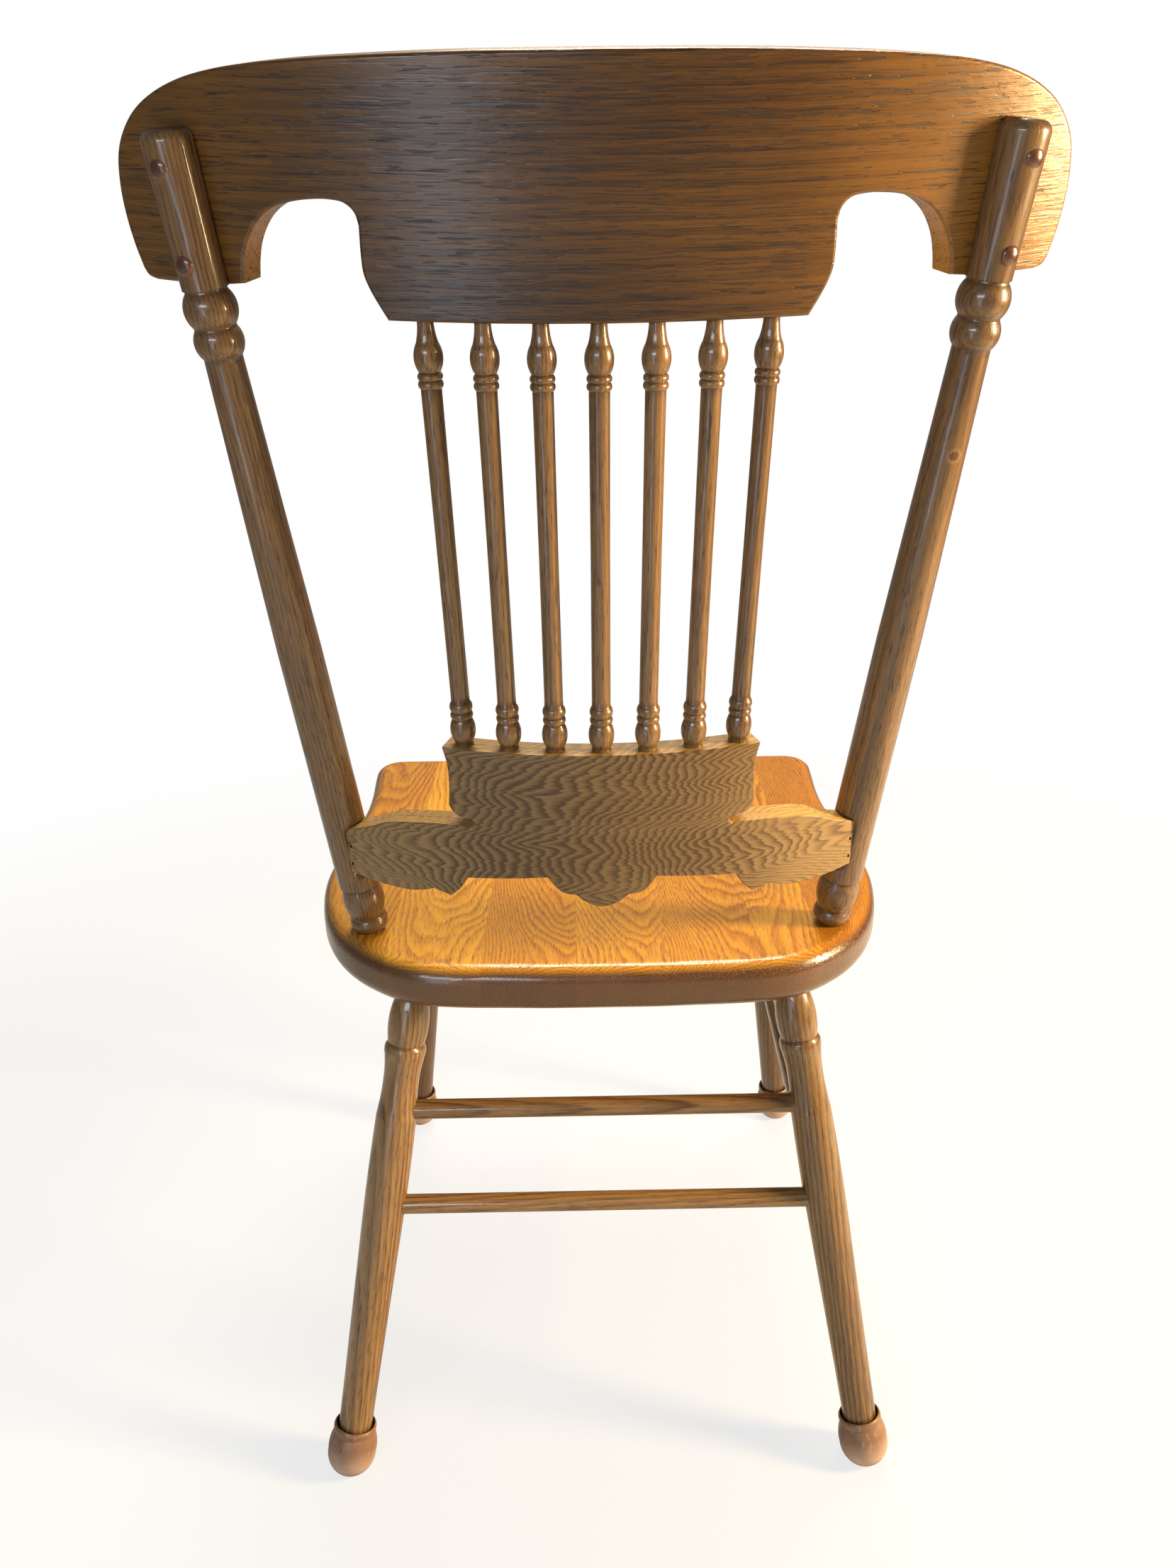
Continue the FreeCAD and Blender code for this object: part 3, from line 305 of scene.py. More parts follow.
@dataclass(frozen=True)
class OakFinish:
    """Varnished oak whose rings, fibres and pores run through the solid."""

    name: str
    pale: Colour
    deep: Colour
    pore: Colour
    # painted light and shade on edges: lighter on lit cut edges, darker on the seat's rim (partly end grain)
    edge: Colour
    ring: float = 0.0026
    heart: Place = (0.010, -0.034)
    drift: float = 0.015
    wander: float = 0.009
    zigzag: float = 0.0
    figure: float = 0.4
    fibres: float = 0.4
    streaks: float = 0.35
    streak_size: Place = (620.0, 14.0)
    clouds: float = 0.5
    variety: float = 0.16
    pores: float = 0.7
    pore_size: Place = (0.0006, 0.008)
    pore_share: Place = (0.60, 0.70)
    roughness: float = 0.34
    gloss: float = 0.42
    coat: float = 0.2
    satin: float = 0.10
    relief: float = 0.3
    # painted shade toward the outline, partly the amber varnish's deeper colour at a slant
    glaze: float = 0.35
    edge_depth: float = 0.4
    middle_shade: float = 0.42
    stir: float = 0.0016
    stir_waves: Row = (70.0, 70.0, 22.0)
    patch_waves: Row = (42.0, 42.0, 9.0)
    patch_gain: float = 1.3
    patch_floor: float = 0.2
    side_waves: Row = (13.0, 13.0, 3.2)
    depth_waves: Row = (17.0, 17.0, 5.0)
    tear_waves: Row = (100.0, 100.0, 11.0)
    fray_waves: Row = (560.0, 560.0, 20.0)
    fray_share: float = 0.45
    frill_waves: Row = (260.0, 260.0, 20.0)
    frill_share: float = 0.35
    fibre_waves: Row = (1300.0, 1300.0, 28.0)
    streak_share: Place = (0.5, 0.76)
    cloud_waves: Row = (12.0, 12.0, 2.6)
    crowd_waves: Row = (34.0, 34.0, 7.0)
    crowding: float = 0.22
    edge_cover: float = 0.95
    groove_dirt: float = 0.7
    pore_roughness: float = 0.22
    fibre_roughness: float = 0.14
    peel_waves: Row = (330.0, 330.0, 120.0)
    peel_height: float = 0.5
    fibre_height: float = 0.4
    streak_depth: float = 0.3
    bump_reach: float = 0.0003
    knot: Optional[Row] = None
    knot_rim: float = 0.0062
    knot_collar: float = 0.0036
    knot_heart: float = 0.0024
    knot_waves: Row = (420.0, 420.0, 420.0)
    knot_fray: float = 0.0016
    knot_paleness: float = 0.6

    def build(self) -> bpy.types.Material:
        """Makes the material from the grain coordinates that each mesh carries.

        Returns:
            The material.
        """
        recipe, material = Recipe.for_material(self.name)
        plain = recipe.attribute("grain", "Vector")
        tone = recipe.attribute("tone", "Fac")
        hollow = recipe.attribute("hollow", "Fac")
        edge = recipe.attribute("edge", "Fac")
        grain = recipe.stirred(plain, self.stir_waves, self.stir)
        early = self.rings(recipe, plain)
        patch = recipe.noise(plain, self.patch_waves, 1.0, 11.0)
        figure = early * (patch * self.patch_gain + self.patch_floor) * self.figure
        fibre = recipe.noise(grain, self.fibre_waves, 3.0, 5.0)
        streak_waves = (self.streak_size[0], *self.streak_size)
        streak = recipe.noise(grain, streak_waves, 2.0, 13.0).between(*self.streak_share)
        cloud = recipe.noise(plain, self.cloud_waves, 2.0, 19.0)
        pore_width, pore_length = self.pore_size
        pore_waves = tuple(PORE_WAVE / size for size in (pore_width, pore_width, pore_length))
        dash = recipe.noise(grain, pore_waves, 1.0, 1.9)
        crowd = recipe.noise(plain, self.crowd_waves, 1.0, 31.0)
        dots = (dash + (crowd - 0.5) * self.crowding).between(*self.pore_share) * (early * 0.5 + 0.5)
        # Painted shade: the colour darkens where the surface turns away from view, toward its outline; partly the
        # amber varnish's deeper colour at a slant.
        slant = recipe.node("ShaderNodeLayerWeight", {}, {"Blend": 0.5}, "Facing")
        shade = (self.middle_shade + slant ** 3.0 * self.glaze + figure + (fibre - 0.5) * self.fibres
                 + streak * self.streaks + (cloud - 0.5) * self.clouds + tone * self.variety).held()
        colour = recipe.mix(shade, self.pale, self.deep)
        # Painted light and shade on edges: the edge colour is lighter than the faces on the crest rail's and
        # splat's cut edges, where the lamps fall, and darker on the seat's rounded rim, partly its end grain and
        # partly painted shade.
        rim = recipe.mix(shade, self.edge, tuple(part * self.edge_depth for part in self.edge))
        colour = recipe.mix(edge * self.edge_cover, colour, rim)
        colour = recipe.mix(dots * self.pores, colour, self.pore)
        colour = recipe.mix(hollow * self.groove_dirt, colour, self.pore)
        if self.knot:
            colour = self.knotted(recipe, plain, colour)
        rough = self.roughness + dots * self.pore_roughness + (fibre - 0.5) * self.fibre_roughness
        peel = recipe.noise(plain, self.peel_waves, 2.0, 23.0)
        height = peel * self.peel_height + fibre * self.fibre_height - dots * 1.0 - streak * self.streak_depth
        recipe.finish({
            "Base Color": colour, "Roughness": rough, "IOR": VARNISH_IOR, "Specular IOR Level": self.gloss,
            "Coat Weight": self.coat, "Coat Roughness": self.satin, "Coat IOR": VARNISH_IOR,
            "Normal": recipe.bump(height, self.relief, self.bump_reach),
        })
        return material

    def knotted(self, recipe: Recipe, grain: Signal, colour: Signal) -> Signal:
        """Adds a small knot: a red-brown heart in a pale collar.

        Args:
            recipe: The material's node tree.
            grain: The grain coordinates.
            colour: The wood's colour.

        Returns:
            The colour with the knot in it.
        """
        away = recipe.node("ShaderNodeVectorMath", {"operation": "SUBTRACT"}, {0: grain, 1: Vector(self.knot)})
        reach = recipe.node("ShaderNodeVectorMath", {"operation": "LENGTH"}, {0: away}, "Value")
        reach = reach + (recipe.noise(grain, self.knot_waves, 1.0, 41.0) - 0.5) * self.knot_fray
        collar = (1.0 - reach.between(self.knot_collar, self.knot_rim)) * self.knot_paleness
        heart = 1.0 - reach.between(self.knot_heart, self.knot_collar)
        return recipe.mix(heart, recipe.mix(collar, colour, self.pale), KNOT_BROWN)

    def rings(self, recipe: Recipe, grain: Signal) -> Signal:
        """Lays the growth rings round the heart of the tree.

        Args:
            recipe: The material's node tree.
            grain: The grain coordinates.

        Returns:
            A signal that jumps to 1 where each ring starts and fades through its year.
        """
        across, through, along = recipe.split(grain)
        side = across - self.heart[0] + (recipe.noise(grain, self.side_waves, 2.0) - 0.5) * self.wander
        depth = through - self.heart[1] + (recipe.noise(grain, self.depth_waves, 2.0, 7.3) - 0.5) * self.wander
        tear = (recipe.noise(grain, self.tear_waves, 1.0, 3.1) - 0.5) * self.zigzag
        fray = (recipe.noise(grain, self.fray_waves, 2.0, 9.7) - 0.5) * (self.zigzag * self.fray_share)
        frill = (recipe.noise(grain, self.frill_waves, 2.0, 15.7) - 0.5) * (self.ring * self.frill_share)
        girth = (side * side + depth * depth) ** 0.5 + (along + tear + fray) * self.drift + frill
        return recipe.ramp((girth / self.ring).fraction(), YEAR_OF_GROWTH)


@dataclass(frozen=True)
class SiliconeFinish:
    """Cloudy soft silicone, with patches of dust."""

    name: str
    pale: Colour
    deep: Colour
    dust: Colour
    cloud_waves: Row = (85.0, 85.0, 60.0)
    smear_waves: Row = (260.0, 260.0, 120.0)
    smear_share: Place = (0.52, 0.75)
    dustiness: float = 0.45
    roughness: float = 0.42
    unevenness: float = 0.2
    ior: float = 1.41
    scatter: float = 0.25
    scatter_reach: Row = (1.0, 0.6, 0.45)
    scatter_depth: float = 0.004
    relief: float = 0.15
    bump_reach: float = 0.0004

    def build(self) -> bpy.types.Material:
        """Makes the material; the edge value says how near the wood behind the wall is.

        Returns:
            The material.
        """
        recipe, material = Recipe.for_material(self.name)
        grain = recipe.attribute("grain", "Vector")
        wall = recipe.attribute("edge", "Fac")
        hollow = recipe.attribute("hollow", "Fac")
        cloud = recipe.noise(grain, self.cloud_waves, 3.0)
        smear = recipe.noise(grain, self.smear_waves, 2.0, 4.0)
        colour = recipe.mix((wall + (cloud - 0.5) * 0.5).held(), self.pale, self.deep)
        colour = recipe.mix(smear.between(*self.smear_share) * self.dustiness, colour, self.dust)
        # painted shade: the inner wall of the cap's mouth, in the gap round the leg, is darkened
        colour = recipe.mix(hollow, colour, CAP_MOUTH_SHADE)
        recipe.finish({
            "Base Color": colour, "Roughness": self.roughness + (smear - 0.5) * self.unevenness, "IOR": self.ior,
            "Subsurface Weight": self.scatter, "Subsurface Radius": Vector(self.scatter_reach),
            "Subsurface Scale": self.scatter_depth, "Normal": recipe.bump(smear, self.relief, self.bump_reach),
        })
        return material


@dataclass(frozen=True)
class SteelFinish:
    """Dull dark steel of small nails and screws."""

    name: str
    colour: Colour
    scratch_waves: Row = (900.0, 900.0, 900.0)
    scratch_depth: float = 0.45
    roughness: float = 0.35
    unevenness: float = 0.3

    def build(self) -> bpy.types.Material:
        """Makes the material from the object's own coordinates.

        Returns:
            The material.
        """
        recipe, material = Recipe.for_material(self.name)
        place = recipe.node("ShaderNodeTexCoord", {}, {}, "Object")
        scratch = recipe.noise(place, self.scratch_waves, 3.0)
        colour = recipe.mix(scratch, self.colour, tuple(part * self.scratch_depth for part in self.colour))
        recipe.finish({"Base Color": colour, "Metallic": 1.0,
                       "Roughness": self.roughness + scratch * self.unevenness})
        return material


# One oak, written as lit and shaded copies: the seat's colours are lighter and more orange for its lit top
# (painted light); the back posts', spindles', splat's and crest rail's are darker for their shaded rear faces
# (painted shade).
LEG_OAK = OakFinish("leg_oak", pale=(0.35, 0.195, 0.069), deep=(0.072, 0.033, 0.009), pore=PORE_BROWN,
                    edge=(0.20, 0.08, 0.025), ring=0.0040, heart=(0.012, -0.022), drift=0.045, zigzag=0.008,
                    figure=0.5, fibres=0.65, streaks=0.3, pores=0.8, pore_share=(0.57, 0.65),
                    coat=0.42, satin=0.07)
BACK_OAK = OakFinish("back_oak", pale=(0.285, 0.152, 0.053), deep=(0.070, 0.032, 0.009), pore=PORE_BROWN,
                     edge=(0.20, 0.08, 0.025), figure=0.3, fibres=0.75, streaks=0.3, pores=0.9,
                     pore_share=(0.57, 0.64), coat=0.42, satin=0.07)
# Seat edge colour: a dark rim, partly the staves' end grain, partly painted shade on the rounding.
SEAT_OAK = OakFinish("seat_oak", pale=(0.74, 0.368, 0.026), deep=(0.33, 0.115, 0.005), pore=(0.14, 0.042, 0.004),
                     edge=(0.105, 0.039, 0.010), ring=0.0017, heart=(0.0, -0.055), drift=0.030, wander=0.014,
                     zigzag=0.012, figure=0.55, fibres=0.5, streaks=0.2, variety=0.2, pores=0.75,
                     pore_size=(0.0006, 0.006), pore_share=(0.56, 0.64), roughness=0.27, gloss=0.5,
                     coat=0.3, satin=0.10, relief=0.5)
# Crest rail edge colour: lighter arch walls and ends, painted light from the warm side lamp.
CREST_OAK = OakFinish("crest_oak", pale=(0.270, 0.112, 0.014), deep=(0.030, 0.0115, 0.0022),
                      pore=(0.010, 0.003, 0.001), edge=(0.56, 0.225, 0.004), ring=0.0075, heart=(-0.30, -0.10),
                      drift=0.012, wander=0.012, figure=0.18, fibres=0.5, streaks=0.2, clouds=0.7, variety=0.2,
                      pores=0.95, pore_size=(0.0007, 0.012), pore_share=(0.61, 0.65), roughness=0.30, gloss=0.5,
                      coat=0.10, satin=0.25, relief=1.0)
# Splat edge colour: a lighter top edge, painted light from the overhead lamp.
SPLAT_OAK = OakFinish("splat_oak", pale=(0.305, 0.190, 0.074), deep=(0.072, 0.036, 0.0115), pore=PORE_BROWN,
                      edge=(0.66, 0.37, 0.095), ring=0.0042, heart=(-0.058, -0.12), drift=0.46, wander=0.085,
                      zigzag=0.022, figure=0.78, fibres=0.45, streaks=0.1, clouds=0.5, variety=0.25, pores=0.3,
                      roughness=0.34, gloss=0.35, coat=0.10)
PLUG_WOOD = OakFinish("plug_wood", pale=(0.165, 0.055, 0.020), deep=(0.085, 0.024, 0.009),
                      pore=(0.03, 0.010, 0.005), edge=(0.05, 0.016, 0.007), ring=0.0015, roughness=0.3,
                      coat=0.5, satin=0.06, relief=0.1)
CAP_SILICONE = SiliconeFinish("cap_silicone", pale=(0.40, 0.27, 0.21), deep=(0.20, 0.11, 0.065),
                              dust=(0.34, 0.29, 0.26))
SCREW_STEEL = SteelFinish("dull_steel", colour=(0.16, 0.14, 0.13))
BRAD_STEEL = SteelFinish("dark_steel", colour=(0.022, 0.018, 0.015))


# ---- mesh helpers ----

def smooth_run(places: Sequence[Place], step: float) -> list[Place]:
    """Samples a smooth curve through places.

    Args:
        places: The places that it passes; two places give a straight line.
        step: The largest distance between samples.

    Returns:
        The samples, without the last place.
    """
    samples: list[Place] = []
    for index in range(len(places) - 1):
        ends = [places[min(max(index + shift, 0), len(places) - 1)] for shift in (-1, 0, 1, 2)]
        before, first, last, after = (Vector(place) for place in ends)
        if index == 0:
            before = first * 2 - last
        if index == len(places) - 2:
            after = last * 2 - first
        count = max(1, math.ceil((last - first).length / step))
        gaps = [max((far - near).length ** 0.5, 1e-6) for near, far in
                ((before, first), (first, last), (last, after))]
        start = (first - before) / gaps[0] - (last - before) / (gaps[0] + gaps[1]) + (last - first) / gaps[1]
        end = (last - first) / gaps[1] - (after - first) / (gaps[1] + gaps[2]) + (after - last) / gaps[2]
        start *= gaps[1]
        end *= gaps[1]
        for number in range(count):
            share = number / count
            square, cube = share ** 2, share ** 3
            place = (first * (2 * cube - 3 * square + 1) + start * (cube - 2 * square + share)
                     + last * (3 * square - 2 * cube) + end * (cube - square))
            samples.append((place.x, place.y))
    return samples


def closed_outline(half: Sequence[Sequence[Place]], step: float) -> list[Vector]:
    """Samples a half outline and its mirror image.

    Args:
        half: Runs of places from the middle of the lower side round to the middle of the upper side.
        step: The largest distance between samples.

    Returns:
        The whole outline, once round, without a repeated place.
    """
    left: list[Place] = []
    for run in half:
        left += smooth_run(run, step)
    left.append(tuple(half[-1][-1]))
    right = [(-across, up) for across, up in reversed(left) if across > 1e-6]
    return [Vector(place) for place in left + right]


def inset_outline(outline: Sequence[Vector], distance: float) -> list[Vector]:
    """Moves each place of an outline inwards.

    Args:
        outline: The places, counter-clockwise.
        distance: How far inwards.

    Returns:
        The moved places.
    """
    moved = []
    for index, place in enumerate(outline):
        before = (place - outline[index - 1]).normalized()
        after = (outline[(index + 1) % len(outline)] - place).normalized()
        inwards = [Vector((-side.y, side.x)) for side in (before, after)]
        middle = inwards[0] + inwards[1]
        reach = max(middle.dot(inwards[0]), 0.5)
        moved.append(place + middle * (distance / reach))
    return moved


def show_mesh(mesh: bpy.types.Mesh, name: str, crease: float) -> bpy.types.Object:
    """Puts a mesh into the scene, smooth-shaded with sharp creases.

    Args:
        mesh: The mesh.
        name: The object's name.
        crease: The angle in degrees from which an edge stays sharp.

    Returns:
        The object.
    """
    mesh.shade_smooth()
    mesh.set_sharp_from_angle(angle=math.radians(crease))
    item = bpy.data.objects.new(name, mesh)
    bpy.context.scene.collection.objects.link(item)
    return item


def finish_mesh(made: bmesh.types.BMesh, name: str, crease: float = 38.0) -> bpy.types.Object:
    """Turns a bmesh into a smooth-shaded object with sharp creases.

    Args:
        made: The mesh, which is freed.
        name: The object's name.
        crease: The angle in degrees from which an edge stays sharp.

    Returns:
        The object.
    """
    bmesh.ops.recalc_face_normals(made, faces=made.faces)
    mesh = bpy.data.meshes.new(name)
    made.to_mesh(mesh)
    made.free()
    return show_mesh(mesh, name, crease)


def slab(outline: Sequence[Vector], thickness: float, low_round: float, high_round: float,
         steps: int) -> bmesh.types.BMesh:
    """Builds a board from an outline, flat for now, with both rims rounded over.

    Args:
        outline: The outline in the board's plane.
        thickness: How thick the board is; its low face is at 0.
        low_round: The radius of the low rim.
        high_round: The radius of the high rim.
        steps: How many facets each rounding has.

    Returns:
        The board's mesh.
    """
    made = bmesh.new()
    levels = []
    for radius, base, sign in ((low_round, 0.0, 1), (high_round, thickness, -1)):
        turns = [math.pi / 2 * number / steps for number in range(steps + 1)]
        rim = [(radius * (1 - math.sin(turn)), base + sign * radius * (1 - math.cos(turn))) for turn in turns]
        levels += rim if sign > 0 else rim[::-1]
    loops = []
    for inset, level in levels:
        ring = inset_outline(outline, inset) if inset > 1e-9 else outline
        loops.append([made.verts.new((place.x, place.y, level)) for place in ring])
    for low, high in zip(loops, loops[1:]):
        for index in range(len(low)):
            following = (index + 1) % len(low)
            made.faces.new((low[index], low[following], high[following], high[index]))
    made.faces.new(loops[0][::-1])
    made.faces.new(loops[-1])
    return made


def slice_mesh(made: bmesh.types.BMesh, axis: int, lines: Iterable[float]) -> None:
    """Cuts edges into a mesh where it crosses planes square to one axis.

    Args:
        made: The mesh.
        axis: The axis: 0, 1 or 2.
        lines: Where along it the planes lie.
    """
    normal = Vector([1.0 if index == axis else 0.0 for index in range(3)])
    for line in lines:
        parts = made.verts[:] + made.edges[:] + made.faces[:]
        bmesh.ops.bisect_plane(made, geom=parts, dist=1e-5, plane_co=normal * line, plane_no=normal)


def trim_mesh(made: bmesh.types.BMesh, place: Vector, outwards: Vector) -> None:
    """Cuts away what lies beyond a plane, and closes the cut.

    Args:
        made: The mesh.
        place: A point of the plane.
        outwards: The direction that is cut away.
    """
    parts = made.verts[:] + made.edges[:] + made.faces[:]
    result = bmesh.ops.bisect_plane(made, geom=parts, dist=1e-5, plane_co=place, plane_no=outwards,
                                    clear_outer=True)
    rim = [part for part in result["geom_cut"] if isinstance(part, bmesh.types.BMEdge)]
    if rim:
        bmesh.ops.holes_fill(made, edges=rim, sides=0)


def even_normals(item: bpy.types.Object, weight: int) -> bpy.types.Object:
    """Keeps broad faces flat-looking beside their rounded rims.

    Args:
        item: The piece.
        weight: How much the broad faces count.

    Returns:
        The piece.
    """
    even = item.modifiers.new("even_normals", "WEIGHTED_NORMAL")
    even.weight = weight
    even.keep_sharp = True
    return item


def frange(start: float, stop: float, step: float) -> list[float]:
    """Evenly spaced numbers from start to stop."""
    count = max(1, round((stop - start) / step))
    return [start + (stop - start) * number / count for number in range(count + 1)]


@dataclass(frozen=True)
class Sawn:
    """Where in the tree a piece was sawn from, so that no two pieces have the same figure."""

    across: float
    through: float
    along: float
    turn: float
    tone: float

    @classmethod
    def pick(cls, dice: random.Random, spread: float = 0.02, turn: float = math.pi) -> "Sawn":
        """Picks a place.

        Args:
            dice: The seeded generator.
            spread: How far off the middle of the log, in metres.
            turn: The largest turn about the grain.

        Returns:
            The picked place.
        """
        return cls(dice.uniform(-spread, spread), dice.uniform(-spread, spread), dice.uniform(-3.0, 3.0),
                   dice.uniform(-turn, turn), dice.uniform(-1.0, 1.0))

    def grain(self, across: float, through: float, along: float) -> Vector:
        """The grain coordinates, in metres, of a point given in millimetres."""
        sine, cosine = math.sin(self.turn), math.cos(self.turn)
        return Vector((cosine * across - sine * through, sine * across + cosine * through, along)) * MM + Vector(
            (self.across, self.through, self.along))


def write_values(mesh: bpy.types.Mesh, grain: Sequence[Vector], hollow: Sequence[float],
                 edge: Sequence[float], tone: float) -> None:
    """Stores what the finishes read at each point of a mesh.

    Args:
        mesh: The mesh.
        grain: The grain coordinates of each point.
        hollow: How deep each point lies in a groove.
        edge: How far each point counts as edge.
        tone: How dark the whole piece is.
    """
    layer = mesh.attributes.new("grain", "FLOAT_VECTOR", "POINT")
    layer.data.foreach_set("vector", [part for place in grain for part in place])
    for name, values in (("hollow", hollow), ("edge", edge), ("tone", [tone] * len(mesh.vertices))):
        layer = mesh.attributes.new(name, "FLOAT", "POINT")
        layer.data.foreach_set("value", list(values))


@dataclass(frozen=True)
class Flat:
    """A flat planed on a turned piece, over a stretch of its length."""

    normal: Vector
    offset: float
    start: float
    stop: float


@dataclass(frozen=True)
class Turning:
    """A turned outline as rows of station, radius and swell of the arc up to the next row."""

    rows: tuple[Row, ...]
    fine: float = 0.7
    coarse: float = 5.0
    facets: int = 72
    crease: float = 42.0

    def samples(self) -> list[Place]:
        """Samples the outline.

        Returns:
            Stations and radii, from the first row to the last.
        """
        found: list[Place] = []
        for (low, low_radius, swell), (high, high_radius, _) in zip(self.rows, self.rows[1:]):
            chord = Vector((high - low, high_radius - low_radius))
            step = self.fine if swell else self.coarse
            count = max(1, math.ceil(chord.length / step))
            if chord.length < 1e-9:
                continue
            outward = Vector((-chord.y, chord.x)).normalized()
            for number in range(count):
                share = number / count
                rise = 0.0
                shift = 0.0
                if swell:
                    height = abs(swell)
                    radius = chord.length ** 2 / (8 * height) + height / 2
                    half = math.asin(min(1.0, chord.length / 2 / radius))
                    if height > chord.length / 2:
                        half = math.pi - half
                    turn = half * (2 * share - 1)
                    rise = math.copysign(radius * math.cos(turn) - (radius - height), swell)
                    shift = radius * math.sin(turn) / chord.length + 0.5 - share
                place = Vector((low, low_radius)) + chord * (share + shift) + outward * rise
                found.append((place.x, max(place.y, 0.0)))
        found.append((self.rows[-1][0], self.rows[-1][1]))
        return found

    def hollows(self, samples: Sequence[Place], reach: float = 2.6, depth: float = 1.1,
                least: float = 0.25) -> list[float]:
        """How deep each sample lies below its surroundings.

        Args:
            samples: Stations and radii.
            reach: How far along to look, in millimetres.
            depth: The depth that counts as 1, on top of the least one.
            least: The share of it that doesn't count yet.

        Returns:
            A value from 0 to 1 for each sample.
        """
        found = []
        for station, radius in samples:
            near = [other for place, other in samples if abs(place - station) <= reach]
            crown = (max(near) + sum(near) / len(near)) / 2
            found.append(min(max((crown - radius) / depth - least, 0.0), 1.0))
        return found

    def build(self, name: str, base: Vector, direction: Vector, sawn: Sawn, flats: Sequence[Flat] = (),
              floor: Optional[float] = None, edges: Optional[Sequence[float]] = None) -> bpy.types.Object:
        """Builds the turned piece.

        Args:
            name: The object's name.
            base: Where station 0 lies, in millimetres.
            direction: Where its axis points.
            sawn: Where its wood comes from.
            flats: The flats planed on it.
            floor: The height below which it is pressed flat, if any.
            edges: The edge value of each sample, if any.

        Returns:
            The object.
        """
        samples = self.samples()
        hollow_row = self.hollows(samples)
        axis = direction.normalized()
        side = axis.orthogonal().normalized()
        other = axis.cross(side)
        places, grain, hollows, edge_values = [], [], [], []
        for index, (station, radius) in enumerate(samples):
            centre = base + axis * station
            for facet in range(self.facets):
                angle = 2 * math.pi * facet / self.facets
                across, through = radius * math.cos(angle), radius * math.sin(angle)
                offset = side * across + other * through
                for flat in flats:
                    excess = offset.dot(flat.normal) - flat.offset
                    if flat.start <= station <= flat.stop and excess > 0:
                        offset -= flat.normal * excess
                place = centre + offset
                if floor is not None:
                    place.z = max(place.z, floor)
                places.append(place * MM)
                grain.append(sawn.grain(across, through, station))
                hollows.append(hollow_row[index])
                edge_values.append(edges[index] if edges else 0.0)
        count = self.facets
        faces = [(row * count + facet, row * count + (facet + 1) % count,
                  (row + 1) * count + (facet + 1) % count, (row + 1) * count + facet)
                 for row in range(len(samples) - 1) for facet in range(count)]
        faces.append(tuple(range(count))[::-1])
        faces.append(tuple(range((len(samples) - 1) * count, len(samples) * count)))
        mesh = bpy.data.meshes.new(name)
        mesh.from_pydata(places, [], faces)
        write_values(mesh, grain, hollows, edge_values, sawn.tone)
        return show_mesh(mesh, name, self.crease)


@dataclass(frozen=True)
class Bend:
    """The form that a board is bent to: a cylinder whose axis leans back."""

    radius: float
    lean: float
    datum: Vector

    @property
    def rearward(self) -> Vector:
        """The direction out of the middle of the board's rear face."""
        return Vector((0, math.cos(self.lean), -math.sin(self.lean)))

    @property
    def upward(self) -> Vector:
        """The direction up the board."""
        return Vector((0, math.sin(self.lean), math.cos(self.lean)))

    def place(self, along: float, up: float, inset: float) -> Vector:
        """A point of the board.

        Args:
            along: How far along its bend.
            up: How far up its face.
            inset: How far in from its rear face.

        Returns:
            The point, in millimetres.
        """
        angle = along / self.radius
        reach = self.radius - inset
        return (self.datum + Vector((reach * math.sin(angle), 0, 0))
                + self.rearward * (reach * math.cos(angle) - self.radius) + self.upward * up)

    def point(self, across: float, up: float, inset: float) -> Vector:
        """A point of the board at a straight distance across."""
        return self.place(math.asin(across / (self.radius - inset)) * self.radius, up, inset)

    def normal(self, across: float, radius: float) -> Vector:
        """The outward normal where the radius from the bend axis meets a distance across."""
        sine = across / radius
        return Vector((sine, 0, 0)) + self.rearward * math.sqrt(1 - sine ** 2)


@dataclass
class Workshop:
    """What every piece needs: the materials, the seeded dice and the log."""

    dice: random.Random = field(default_factory=lambda: random.Random(41))
    finishes: dict[str, bpy.types.Material] = field(default_factory=dict)

    def material(self, finish: Union[OakFinish, SiliconeFinish, SteelFinish]) -> bpy.types.Material:
        """The material of a finish, made once.

        Args:
            finish: The finish.

        Returns:
            Its material.
        """
        if finish.name not in self.finishes:
            self.finishes[finish.name] = finish.build()
        return self.finishes[finish.name]

    def dress(self, item: bpy.types.Object, finish: Union[OakFinish, SiliconeFinish], slot: str,
              *nodes: str) -> bpy.types.Object:
        """Gives a piece its finish and its place on the chair.

        Args:
            item: The piece.
            finish: Its finish.
            slot: The record's material slot; not used.
            nodes: The nodes that it stands for.

        Returns:
            The piece.
        """
        item.data.materials.append(self.material(finish))
        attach(item, ROOT_BODY)
        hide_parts(*nodes)
        LOG.info("%s stands for %s", item.name, ", ".join(nodes))
        return item


# ---- sub-assemblies ----

